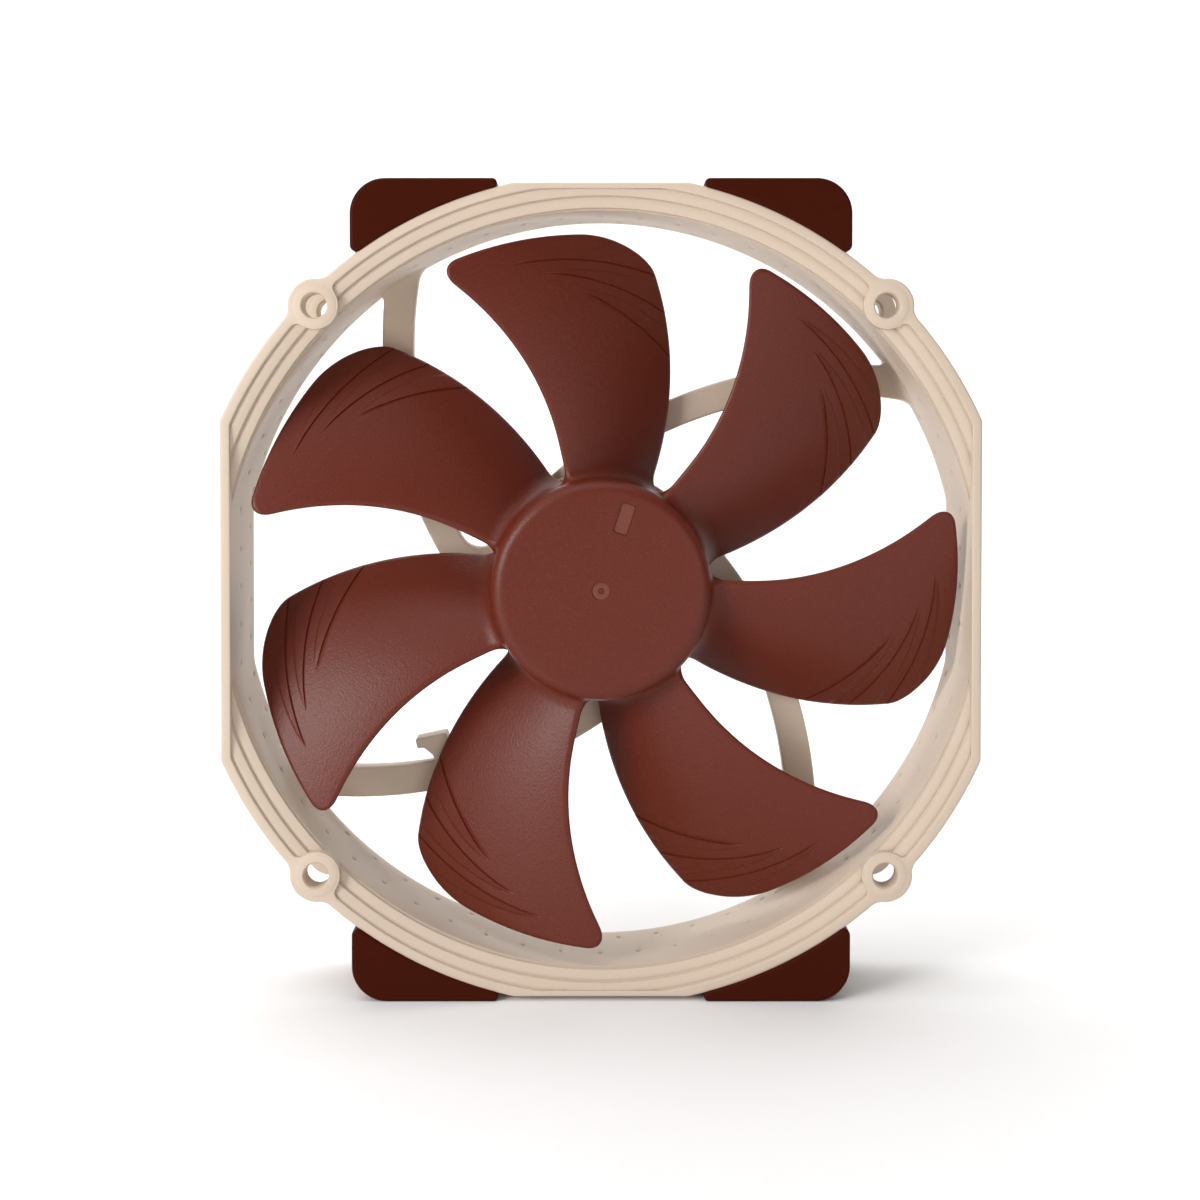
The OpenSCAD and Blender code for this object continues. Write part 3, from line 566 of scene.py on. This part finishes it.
# %% Four struts
strut_share = np.concatenate([
    np.linspace(-0.09, 0.1, 40), np.linspace(0.12, 0.7, 20), 0.9 - 0.2 * np.linspace(0.95, 0, 22) ** 2,
    np.linspace(0.92, 1.1, 8)])
middle, normal, arc_centre, arc_r = strut_path(strut_share)
strut_half = strut_width(strut_share)[:, None] * section_across[None, :]
strut_plan = middle[:, None, :] + normal[:, None, :] * strut_half[..., None]
strut_plan, wall_gap = foot_fillet(strut_plan, normal, section_across)
strut_plan = head_fillet(strut_plan, strut_share, section_across)
strut_front = REAR - STRUT_T - FOOT_RISE * flare(wall_gap, 2.2)
strut_depth = strut_front + section_down[None, :] * (REAR - strut_front) / STRUT_T
strut_depth = np.minimum(strut_depth, REAR - 0.02)
for number in range(4):
    plan = turned(strut_plan, number * np.pi / 2)
    strut_grid = np.stack([plan[..., 0], strut_depth, plan[..., 1]], axis=-1)
    tube_piece(f"strut_{number + 1}", strut_grid, "frame_plastic", "stator", ["frame"])
print(f"four struts on arcs of radius {arc_r:.1f} mm")


# %% Motor base and bearing tube
def rounded_profile(corners, radii, count=5):
    """A closed section whose corners are rounded: each corner is replaced by a short curve, its points
    a quadratic blend between the two sides."""
    corners = np.array(corners, dtype=float)
    points = []
    for k, radius in enumerate(radii):
        here, before, after = corners[k], corners[k - 1], corners[(k + 1) % len(corners)]
        start = here + (before - here) / np.linalg.norm(before - here) * radius
        end = here + (after - here) / np.linalg.norm(after - here) * radius
        t = np.linspace(0, 1, count)[:, None]
        points.append((1 - t) ** 2 * start + 2 * t * (1 - t) * here + t**2 * end)
    return np.concatenate(points)


TUBE_IN, TUBE_OUT, TUBE_FRONT, LEDGE_W, LEDGE_FRONT = 4.67, 5.67, 8.0, 1.4, 21.2
FLOOR_FRONT, LABEL_R, LABEL_T, LABEL_GAP = REAR - 1.8, BASE_R - 1.6, 0.3, 0.2
base_corners = [
    (TUBE_IN, TUBE_FRONT), (TUBE_OUT, TUBE_FRONT), (TUBE_OUT, LEDGE_FRONT),
    (TUBE_OUT + LEDGE_W, LEDGE_FRONT), (TUBE_OUT + LEDGE_W, FLOOR_FRONT), (BASE_R - BASE_RIM, FLOOR_FRONT),
    (BASE_R - BASE_RIM, BASE_FRONT), (BASE_R, BASE_FRONT), (BASE_R, REAR), (LABEL_R + LABEL_GAP, REAR),
    (LABEL_R + LABEL_GAP, REAR - LABEL_T), (TUBE_IN, REAR - LABEL_T)]
base_radii = [0.2, 0.2, 0.3, 0.2, 0.5, 0.5, 0.4, 0.6, 0.6, 0.12, 0.1, 0.1]
base_profile = rounded_profile(base_corners, base_radii)
tube_piece("motor_base", lathe(base_profile, 256), "frame_plastic", "stator", ["frame"], closed=True)


# %% [markdown]
# ## Flat parts with rounded edges
# The cable hook and the silicone pads are both a flat outline with some thickness and soft edges. One
# function makes them: the outline shrinks a little along its own normals as it turns the edge, and the
# two faces are closed with a cap.

# %% Rounded plates
def even_outline(corners, spacing, softness):
    """A closed outline with evenly spaced points, its corners softened by a circular Gaussian blur."""
    corners = np.array(corners, dtype=float)
    sides = np.roll(corners, -1, axis=0) - corners
    lengths = np.linalg.norm(sides, axis=1)
    travelled = np.concatenate([[0], np.cumsum(lengths)])
    count = int(round(travelled[-1] / spacing))
    spots = np.linspace(0, travelled[-1], count, endpoint=False)
    ring_of_corners = np.vstack([corners, corners[:1]])
    even = np.stack([np.interp(spots, travelled, ring_of_corners[:, k]) for k in (0, 1)], axis=-1)
    step = travelled[-1] / count
    away = np.minimum(np.arange(count), count - np.arange(count)) * step
    kernel = np.exp(-0.5 * (away / softness) ** 2)
    kernel /= kernel.sum()
    spectrum = np.fft.fft(kernel)[:, None]
    return np.fft.ifft(np.fft.fft(even, axis=0) * spectrum, axis=0).real


def plate_grid(outline, front, rear, rounding):
    """Sections of a plate: the outline, moved inwards by a quarter circle at each face."""
    tangent = np.roll(outline, -1, axis=0) - np.roll(outline, 1, axis=0)
    tangent /= np.linalg.norm(tangent, axis=1, keepdims=True)
    following = np.roll(outline, -1, axis=0)
    area = 0.5 * np.sum(outline[:, 0] * following[:, 1] - following[:, 0] * outline[:, 1])
    inward = np.stack([-tangent[:, 1], tangent[:, 0]], axis=-1) * np.sign(area)
    turns = np.radians(np.linspace(0, 90, 6))
    cap = [rounding + 0.06]
    insets = np.concatenate([cap, rounding * (1 - np.sin(turns)), rounding * (1 - np.cos(turns)), cap])
    depths = np.concatenate([[front], front + rounding * (1 - np.cos(turns)),
                             rear - rounding * (1 - np.sin(turns)), [rear]])
    rows = outline[None] + inward[None] * insets[:, None, None]
    depth = np.broadcast_to(depths[:, None], rows.shape[:2])
    return np.stack([rows[..., 0], depth, rows[..., 1]], axis=-1)


# %% Cable hook
HOOK_SHARE = 0.4
POST_HALF, ARM_REACH, ARM_OUT, ARM_IN = 1.7, 4.5, -5.2, -3.2
HOOK_FRONT, HOOK_REAR = REAR - 5.4, REAR - 0.1
hook_spot, hook_normal = (value[0] for value in strut_path(np.array([HOOK_SHARE]))[:2])
hook_root = hook_spot - hook_normal * strut_width(HOOK_SHARE)
hook_corners = [[-POST_HALF, 1.0], [-POST_HALF, ARM_OUT], [ARM_REACH, ARM_OUT], [ARM_REACH, ARM_IN],
                [3.2, ARM_IN], [POST_HALF, -1.3], [POST_HALF, 1.0]]
hook_outline = even_outline(hook_corners, 0.15, 0.32)
lean = math.atan2(hook_normal[1], hook_normal[0]) - math.pi / 2
hook_outline = turned(turned(hook_outline, lean) + hook_root, -math.pi / 2)
hook_grid = plate_grid(hook_outline, HOOK_FRONT, HOOK_REAR, 0.25)
tube_piece("cable_hook", hook_grid, "frame_plastic", "stator", ["frame"])

# %% [markdown]
# ## The silicone pads
# A soft pad grips each corner of both flanges. Its outline follows the ring on the inside and is square
# on the outside, with one large rounded corner and a thin nose that lies along the ring.

# %% Pads
PAD_OUT, PAD_TOP, PAD_CORNER = 46.0, HALF_HEIGHT + 0.8, 6.5
PAD_TIP, PAD_NOSE, PAD_PROUD, PAD_ROUND = 1.2, 0.93, 0.4, 0.6


def pad_outline():
    """The upper right pad: round its lower tip, up the side, round the corner, along the top, round the
    nose and back along the ring. The tip and the nose are arcs that touch the ring."""
    edge = RING_R - 0.15
    tip_x, nose_z = PAD_OUT - PAD_TIP, PAD_TOP - PAD_NOSE
    tip = (tip_x, math.sqrt((edge + PAD_TIP) ** 2 - tip_x**2))
    nose = (math.sqrt((edge + PAD_NOSE) ** 2 - nose_z**2), nose_z)
    tip_turn, nose_turn = (math.degrees(math.atan2(spot[1], spot[0])) for spot in (tip, nose))
    return np.vstack([
        corner_arc(tip, PAD_TIP, tip_turn - 180, 0, 12),
        corner_arc((PAD_OUT - PAD_CORNER, PAD_TOP - PAD_CORNER), PAD_CORNER, 0, 90, 20),
        corner_arc(nose, PAD_NOSE, 90, nose_turn + 180, 12),
        corner_arc((0, 0), edge, nose_turn, tip_turn, 50)[1:-1]])


pad_shape = even_outline(pad_outline(), 0.25, 0.12)
for flange, front, rear in (("front", 0.0, FLANGE_T), ("rear", REAR - FLANGE_T, REAR)):
    for level, sz in (("top", 1), ("bottom", -1)):
        for hand, sx in (("left", -1), ("right", 1)):
            node = f"pad_{flange}_{level}_{hand}"
            grid = plate_grid(pad_shape * np.array([sx, sz]), front - PAD_PROUD, rear + PAD_PROUD, PAD_ROUND)
            tube_piece(node + "_soft", grid, "pad_silicone", "stator", [node])

# %% [markdown]
# ## The impeller
# The hub is a turned cup with a large rounded edge, a small gate mark in the middle and a pocket for a
# balancing weight. A blade is a curved sheet: its leading and trailing edges are two curves of angle
# against radius, and between them the sheet falls from the inlet side to the outlet side. Thickness is
# added square to the sheet and dies away like a semicircle towards every free edge. Near the hub the
# thickness grows again, which makes the fillet at the root.

# %% Hub
HUB_ROUND, HUB_WALL, HUB_CROWN, HUB_FLOOR = 2.6, 1.3, 0.12, 3.0
PIN_R, GATE_R, GATE_DEPTH = 0.45, 1.75, 0.24
FLAT_R, CUP_R = HUB_R - HUB_ROUND, HUB_R - HUB_WALL
gate_mark = [(0, HUB_FRONT), (PIN_R, HUB_FRONT), (PIN_R + 0.17, HUB_FRONT + GATE_DEPTH),
             (GATE_R - 0.25, HUB_FRONT + GATE_DEPTH), (GATE_R, HUB_FRONT)]
hub_face = [(r, HUB_FRONT + HUB_CROWN * (r / FLAT_R) ** 2) for r in (2.2, 5, 8, 11, 14, 16)]
hub_edge = [(FLAT_R + HUB_ROUND * math.sin(a), HUB_FRONT + HUB_CROWN + HUB_ROUND * (1 - math.cos(a)))
            for a in np.radians(np.linspace(0, 90, 12))]
hub_side = [(HUB_R, 10.0), (HUB_R, HUB_REAR - 0.4), (HUB_R - 0.15, HUB_REAR - 0.1), (HUB_R - 0.4, HUB_REAR)]
hub_inside = [(CUP_R + 0.2, HUB_REAR), (CUP_R, HUB_REAR - 0.3), (CUP_R, HUB_FLOOR), (0, HUB_FLOOR)]
hub_profile = np.array(gate_mark + hub_face + hub_edge + hub_side + hub_inside)
hub = tube_piece("hub_shell", lathe(hub_profile, 360), "impeller_plastic", "rotor", ["impeller"], closed=True)

# %% Pocket, and floors with polish and a painted sheen
# The tool is polished at the pocket and round the gate, so both floors are smoother than the grain, and their
# lighter colour is a painted sheen
POCKET_L, POCKET_W, POCKET_R, POCKET_TURN = 5.8, 2.7, 14.0, math.radians(72)
pocket_corners = [[-POCKET_L / 2, -POCKET_W / 2], [POCKET_L / 2, -POCKET_W / 2],
                  [POCKET_L / 2, POCKET_W / 2], [-POCKET_L / 2, POCKET_W / 2]]
pocket_outline = turned(even_outline(pocket_corners, 0.15, 0.35) + np.array([POCKET_R, 0.0]), POCKET_TURN)
pocket = tube_piece("pocket", plate_grid(pocket_outline, -1.0, HUB_FRONT + 0.5, 0.12), "", None)
cut_away(hub, [pocket])
pocket_middle = pocket_outline.mean(axis=0)
polished = pocket_middle + (pocket_outline - pocket_middle) * 0.97
floor_grid = plate_grid(polished, HUB_FRONT + 0.3, HUB_FRONT + 1.0, 0.05)
tube_piece("pocket_floor", floor_grid, "impeller_plastic", "rotor", ["impeller"])
gate_in, gate_out, gate_top, gate_foot = PIN_R + 0.1, GATE_R - 0.15, HUB_FRONT + 0.17, 2.0
gate_profile = np.array([
    (gate_in, gate_top + 0.03), (gate_in + 0.07, gate_top), (gate_out - 0.1, gate_top),
    (gate_out, gate_top + 0.03), (gate_out, gate_foot), (gate_in, gate_foot)])
tube_piece("gate_floor", lathe(gate_profile, 64), "impeller_plastic", "rotor", ["impeller"], closed=True)

# %% Blade sheet
BLADES = 7
PITCH = 360 / BLADES
TIP_R = DUCT_HALF_WIDTH - 1.4
ROOT_R = HUB_R - 0.65
LEAD_DEPTH_ROOT, LEAD_DEPTH_TIP, TRAIL_DEPTH, CAMBER = 5.2, 1.6, HUB_REAR - 1.0, 0.4
ROOT_THICK, TIP_THICK, ROOT_FILLET, FILLET_REACH = 2.0, 1.5, 2.4, 3.2


def lead_angle(r):
    """Angle of the leading edge in degrees: lowest near the hub, then sweeping forward."""
    past = r - 1.5 * HUB_R
    return 3 + 0.0187 * past**2 / (1 + 0.0294 * np.abs(past))


def trail_angle(r):
    """Angle of the trailing edge in degrees, one pitch behind the next blade's leading edge."""
    past = r - HUB_R
    return 11.3 - PITCH + 0.36 * past + 0.0018 * past**2


def corner_drop(share, width, drop):
    """Quarter-ellipse that rounds the tip's corner."""
    near = np.clip(1 - share / width, 0, 1)
    return drop * (1 - np.sqrt(1 - near**2))


def blade_end(share):
    """Radius where the blade ends, for each share of its chord."""
    return TIP_R - corner_drop(share, 0.12, 4.6) - corner_drop(1 - share, 0.30, 7.0)


def edge_fade(distance, reach):
    """Thickness near a free edge: grows like a semicircle over reach, then stays 1."""
    near = np.clip(1 - distance / reach, 0, 1)
    return np.sqrt(1 - near**2)


# %% [markdown]
# Each blade carries three flow channels near its tip. A channel starts at a point and opens towards the
# trailing edge between two curves. Along the inner curve runs a fine crease. From there the channel's
# raised floor falls to the outer curve, where a small step brings it back to the blade's face. The
# blade's grid lines are gathered along these curves, so that a crease of a few tenths of a millimetre
# stays crisp.

# %% Flow channels
CREASE_DEPTH, CREASE_HALF, CHANNEL_RISE, OUTER_STEP = 0.12, 0.16, 0.24, 0.13
# start share, start radius, fall of the inner curve and of the outer curve, linear and squared
CHANNELS = ((0.28, 62.5, (0.85, 3.2), (-5.2, 4.5)),
            (0.41, 59.9, (7.3, 6.1), (-1.3, 7.6)),
            (0.535, 56.1, (22.1, 1.8), (4.0, 21.0)))


def channel_curves(share):
    """Radii of each channel's inner and outer curve at every share of the chord, and how far past its
    start that is."""
    for start, start_r, inner, outer in CHANNELS:
        past = np.clip(share - start, 0, 1)
        yield (start_r - inner[0] * past - inner[1] * past**2,
               start_r - outer[0] * past - outer[1] * past**2, past)


def channel_relief(share, r):
    """Height of the channels above the blade's plain face, in mm. A fine crease runs at the foot of each
    inner wall, and the floor behind it falls to a small step at the outer curve."""
    height = np.zeros(r.shape)
    for inner_r, outer_r, past in channel_curves(share):
        along = np.clip((r - inner_r) / np.maximum(outer_r - inner_r, 0.3), 0, 1)
        floor_height = CHANNEL_RISE + (OUTER_STEP - CHANNEL_RISE) * along
        inside = smooth_step(r - inner_r, -0.05, 0.11) * (1 - smooth_step(r - outer_r, -0.08, 0.08))
        crease = np.clip(1 - np.abs(r - inner_r + 0.08) / CREASE_HALF, 0, 1)
        height += floor_height * inside * smooth_step(past, 0.0, 0.10)
        height -= CREASE_DEPTH * crease * smooth_step(past, 0.0, 0.03)
    return height


def blade_rows(share, end):
    """Radii of the blade's grid lines for each share: gathered at the creases, even in between."""
    plain_to, tip_band, room = 35.0, 0.7, 4.0
    rows = [ROOT_R + (plain_to - ROOT_R) * t for t in np.concatenate([
        np.linspace(0, 0.4, 20, endpoint=False), np.linspace(0.4, 1, 12, endpoint=False)])]
    anchors = [np.full_like(share, plain_to)]
    for inner_r, outer_r, _ in reversed(list(channel_curves(share))):
        anchors.append(np.minimum(inner_r, end - room))
        anchors.append(np.minimum(np.maximum(outer_r, inner_r + 0.45), end - room + 0.5))
        room -= 1.0
    anchors.append(end - tip_band)
    for number, (low, high) in enumerate(zip(anchors, anchors[1:])):
        count = 14 if number == 0 else 7
        rows += [low + (high - low) * t for t in np.arange(1, count) / count]
    for inner_line, outer_line in zip(anchors[1:-1:2], anchors[2:-1:2]):
        rows += [inner_line + spot for spot in (-0.26, -0.17, -0.11, -0.055, 0.0, 0.055, 0.11, 0.17, 0.26)]
        rows += [outer_line + spot for spot in (-0.08, 0.0, 0.08)]
    rows += [end - tip_band * (1 - t) ** 2 for t in np.linspace(0, 1, 9)]
    return np.sort(np.broadcast_arrays(*rows, share)[:-1], axis=0)


# %% Blade surface
def blade_grid(turn):
    """One blade as closed sections: each runs out along the inlet side and back along the outlet side,
    from inside the hub to the tip."""
    across = (1 - np.cos(np.linspace(0, np.pi, 121))) / 2
    end = blade_end(across)
    r = blade_rows(across, end)
    share = np.broadcast_to(across, r.shape)
    fillet = np.where(r < HUB_R, 1.0, flare(r - HUB_R, FILLET_REACH))
    lead = lead_angle(r) + np.degrees(1.6 * fillet / r)
    sweep = lead - trail_angle(r) + np.degrees(1.2 * fillet / r)
    outward = (r - HUB_R) / (TIP_R - HUB_R)
    lead_depth = LEAD_DEPTH_ROOT + (LEAD_DEPTH_TIP - LEAD_DEPTH_ROOT) * outward
    fall = TRAIL_DEPTH - lead_depth
    depth = lead_depth + fall * ((1 - CAMBER) * share + CAMBER * share**2)
    chord = np.radians(sweep) * r
    slope = fall * (1 - CAMBER + 2 * CAMBER * share) / chord
    lean = np.arctan(slope)
    plump = ROOT_THICK + (TIP_THICK - ROOT_THICK) * np.clip(outward, 0, 1)
    thick = plump * (0.62 + 0.38 * np.sin(np.pi * share**0.7)) + 2 * ROOT_FILLET * fillet
    fade = (edge_fade(share * chord, 0.9) * edge_fade((1 - share) * chord, 0.8)
            * edge_fade(end - r, 0.7))
    sides = []
    for side in (1, -1):
        half = side * thick / 2 * fade
        if side == 1:
            half = half + channel_relief(share, r) * fade * edge_fade((1 - share) * chord, 2.0)
        angle = np.radians(lead - share * sweep) - half * np.sin(lean) / r
        placed = np.minimum(depth - half * np.cos(lean), HUB_REAR - 0.1)
        sides.append(polar(r, angle + turn, placed))
    return np.concatenate([sides[0], sides[1][:, -2:0:-1]], axis=1)


for number in range(BLADES):
    blade_points = blade_grid(math.radians(number * PITCH))
    blade = tube_piece(f"blade_{number + 1}", blade_points, "impeller_plastic", "rotor", ["impeller"])
print("blade:", len(blade.data.polygons), "faces each")

# %% [markdown]
# ## Finishes
# Moulded plastic copies the fine spark-eroded texture of its tool. Seen close up that is a grain of a few
# tenths of a millimetre, with a slow drift in tone over centimetres. One node group makes both from the
# object's own coordinates, and every finish uses it with its own values.

# %% Moulded grain group
def new_socket(group, name, way, kind, value=None):
    """Adds a socket to a node group. way is INPUT or OUTPUT, and value is what it rests at."""
    socket = group.interface.new_socket(name=name, in_out=way, socket_type=kind)
    if value is not None:
        socket.default_value = value


def link_math(group, operation, first, second):
    """A Math node: first and second are sockets or numbers."""
    node = group.nodes.new("ShaderNodeMath")
    node.operation = operation
    for slot, value in enumerate((first, second)):
        if isinstance(value, (int, float)):
            node.inputs[slot].default_value = value
        else:
            group.links.new(value, node.inputs[slot])
    return node.outputs[0]


def noise(group, vector, scale, detail):
    """A noise texture; scale is a socket or a number, in features per metre."""
    node = group.nodes.new("ShaderNodeTexNoise")
    group.links.new(vector, node.inputs["Vector"])
    node.inputs["Detail"].default_value = detail
    if isinstance(scale, (int, float)):
        node.inputs["Scale"].default_value = scale
    else:
        group.links.new(scale, node.inputs["Scale"])
    return node.outputs["Fac"]


def make_grain_group():
    """Moulded grain: Height for a bump, Colour and Roughness that vary about the given values."""
    group = bpy.data.node_groups.new("moulded grain", "ShaderNodeTree")
    new_socket(group, "Colour", "INPUT", "NodeSocketColor", (0.5, 0.5, 0.5, 1))
    new_socket(group, "Speckle colour", "INPUT", "NodeSocketColor", (0.6, 0.6, 0.6, 1))
    new_socket(group, "Grain per metre", "INPUT", "NodeSocketFloat", 3000.0)
    new_socket(group, "Speckle", "INPUT", "NodeSocketFloat", 0.3)
    new_socket(group, "Drift", "INPUT", "NodeSocketFloat", 0.1)
    new_socket(group, "Roughness", "INPUT", "NodeSocketFloat", 0.5)
    new_socket(group, "Colour", "OUTPUT", "NodeSocketColor")
    new_socket(group, "Roughness", "OUTPUT", "NodeSocketFloat")
    new_socket(group, "Height", "OUTPUT", "NodeSocketFloat")
    given = group.nodes.new("NodeGroupInput").outputs
    made = group.nodes.new("NodeGroupOutput").inputs
    place = group.nodes.new("ShaderNodeTexCoord").outputs["Object"]
    grain = noise(group, place, given["Grain per metre"], 3.0)
    speck = noise(group, place, link_math(group, "MULTIPLY", given["Grain per metre"], 1.7), 1.0)
    drift = noise(group, place, 38.0, 2.0)
    sharper = group.nodes.new("ShaderNodeMapRange")
    sharper.inputs["From Min"].default_value = 0.52
    sharper.inputs["From Max"].default_value = 0.78
    group.links.new(speck, sharper.inputs["Value"])
    blend = group.nodes.new("ShaderNodeMix")
    blend.data_type = "RGBA"  # its colours are inputs 6 and 7, and the result is output 2
    share = link_math(group, "MULTIPLY", sharper.outputs["Result"], given["Speckle"])
    group.links.new(share, blend.inputs["Factor"])
    group.links.new(given["Colour"], blend.inputs[6])
    group.links.new(given["Speckle colour"], blend.inputs[7])
    swing = link_math(group, "MULTIPLY", link_math(group, "SUBTRACT", drift, 0.5), given["Drift"])
    tone = group.nodes.new("ShaderNodeHueSaturation")
    group.links.new(blend.outputs[2], tone.inputs["Color"])
    brightness = link_math(group, "ADD", link_math(group, "MULTIPLY", swing, 2.0), 1.0)
    group.links.new(brightness, tone.inputs["Value"])
    group.links.new(tone.outputs["Color"], made["Colour"])
    rough = link_math(group, "ADD", given["Roughness"], swing)
    fine = link_math(group, "MULTIPLY", link_math(group, "SUBTRACT", grain, 0.5), 0.12)
    group.links.new(link_math(group, "ADD", rough, fine), made["Roughness"])
    group.links.new(grain, made["Height"])
    return group


GRAIN = make_grain_group()


# %% [markdown]
# ## The materials
# The frame is a warm beige, satin thermoplastic. The impeller is a red-brown one with a livelier grain.
# The pads are a darker, softer silicone. Inside the motor are plated steel, ferrite, brass, sintered
# bronze, copper and a green circuit board, which show only when the fan is taken apart.

# %% Material maker
def make_material(name, colour, speckle_colour, grain, speckle, drift, roughness, bump, **constants):
    """A finish from the moulded grain group. constants go straight onto the shader's own sockets."""
    material = bpy.data.materials.new(name)
    material.use_nodes = True
    tree = material.node_tree
    shader = tree.nodes["Principled BSDF"]
    node = tree.nodes.new("ShaderNodeGroup")
    node.node_tree = GRAIN
    node.inputs["Colour"].default_value = (*colour, 1)
    node.inputs["Speckle colour"].default_value = (*speckle_colour, 1)
    node.inputs["Grain per metre"].default_value = grain
    node.inputs["Speckle"].default_value = speckle
    node.inputs["Drift"].default_value = drift
    node.inputs["Roughness"].default_value = roughness
    relief = tree.nodes.new("ShaderNodeBump")
    relief.inputs["Strength"].default_value = bump
    relief.inputs["Distance"].default_value = 0.00006
    tree.links.new(node.outputs["Height"], relief.inputs["Height"])
    tree.links.new(relief.outputs["Normal"], shader.inputs["Normal"])
    tree.links.new(node.outputs["Colour"], shader.inputs["Base Color"])
    tree.links.new(node.outputs["Roughness"], shader.inputs["Roughness"])
    for key, value in constants.items():
        shader.inputs[key.replace("_", " ")].default_value = value
    return material


# %% Finishes by material slot
FINISHES = {
    "frame_plastic": make_material(
        "beige moulding", (0.58, 0.475, 0.375), (0.68, 0.58, 0.475), 3200.0, 0.25, 0.05, 0.52, 0.35,
        Specular_IOR_Level=0.35),
    "impeller_plastic": make_material(
        "red-brown moulding", (0.105, 0.0140, 0.0048), (0.17, 0.034, 0.019), 2300.0, 0.45, 0.06, 0.40, 1.0,
        Specular_IOR_Level=0.31),
    "pad_silicone": make_material(
        "dark brown silicone", (0.043, 0.0052, 0.0010), (0.066, 0.010, 0.003), 2400.0, 0.25, 0.08, 0.40, 0.4,
        Specular_IOR_Level=0.05),
    "yoke_steel": make_material(
        "plated steel", (0.56, 0.57, 0.58), (0.66, 0.67, 0.68), 1800.0, 0.3, 0.06, 0.32, 0.15, Metallic=1.0),
    "magnet_ferrite": make_material(
        "bonded ferrite", (0.045, 0.045, 0.05), (0.10, 0.10, 0.11), 5200.0, 0.5, 0.05, 0.62, 0.5),
    "bearing_brass": make_material(
        "turned brass", (0.78, 0.56, 0.25), (0.86, 0.66, 0.34), 2600.0, 0.2, 0.05, 0.26, 0.12, Metallic=1.0),
    "sleeve_bronze": make_material(
        "sintered bronze", (0.52, 0.36, 0.20), (0.30, 0.20, 0.12), 6500.0, 0.7, 0.05, 0.50, 0.7,
        Metallic=1.0),
    "shaft_steel": make_material(
        "ground steel", (0.66, 0.67, 0.69), (0.74, 0.75, 0.77), 4200.0, 0.2, 0.03, 0.16, 0.08, Metallic=1.0),
    "dark_polymer": make_material(
        "dark polymer", (0.035, 0.035, 0.04), (0.07, 0.07, 0.075), 3600.0, 0.3, 0.05, 0.48, 0.3),
    "core_steel": make_material(
        "stacked steel sheets", (0.40, 0.41, 0.43), (0.52, 0.53, 0.55), 2200.0, 0.4, 0.08, 0.42, 0.4,
        Metallic=1.0),
    "insulator_plastic": make_material(
        "natural nylon", (0.78, 0.77, 0.70), (0.84, 0.83, 0.78), 2600.0, 0.2, 0.05, 0.45, 0.25),
    "copper_wire": make_material(
        "enamelled copper", (0.62, 0.22, 0.07), (0.74, 0.34, 0.14), 5200.0, 0.5, 0.08, 0.30, 0.8,
        Metallic=0.9),
    "pin_brass": make_material(
        "tinned pins", (0.74, 0.68, 0.50), (0.80, 0.76, 0.62), 4200.0, 0.3, 0.04, 0.28, 0.15, Metallic=1.0),
    "board_laminate": make_material(
        "green board", (0.012, 0.10, 0.035), (0.02, 0.16, 0.06), 900.0, 0.5, 0.05, 0.30, 0.2),
    "chip_black": make_material(
        "moulding compound", (0.025, 0.025, 0.025), (0.05, 0.05, 0.05), 7000.0, 0.4, 0.03, 0.55, 0.4),
    "capacitor_ceramic": make_material(
        "ceramic", (0.46, 0.34, 0.20), (0.55, 0.43, 0.28), 6000.0, 0.3, 0.05, 0.38, 0.2),
    "label_film": make_material(
        "plain label film", (0.50, 0.42, 0.33), (0.55, 0.48, 0.39), 1400.0, 0.2, 0.03, 0.34, 0.08),
}
# Smoother red-brown for the pocket and gate floors; its lighter colour is a painted sheen
polish_and_painted_sheen = make_material(
    "red-brown with polish and painted sheen", (0.16, 0.044, 0.030), (0.20, 0.065, 0.048), 2300.0, 0.3, 0.05, 0.30, 0.3,
    Specular_IOR_Level=0.3)
floor_material = make_material(
    "pale floor", (0.93, 0.93, 0.93), (0.95, 0.95, 0.95), 60.0, 0.3, 0.01, 0.75, 0.02)
floor.data.materials.append(floor_material)

# %% Give every piece and every CAD part its finish
slot_of = {part["node"]: part["material_slot"] for part in frame["record"]["subparts"]}
for node_name, part in frame["nodes"].items():
    for index in range(max(1, len(part.material_slots))):
        if len(part.material_slots) <= index:
            part.data.materials.append(None)
        part.material_slots[index].material = FINISHES[slot_of[node_name]]
painted = 0
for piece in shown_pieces():
    if "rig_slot" in piece.keys():
        piece.data.materials.clear()
        piece.data.materials.append(FINISHES[piece["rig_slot"]])
        painted += 1
# The pocket and gate floors get the smoother finish, whose lighter colour is a painted sheen
for name in ("pocket_floor", "gate_floor"):
    bpy.data.objects[name].data.materials[0] = polish_and_painted_sheen
print("finished pieces:", painted)
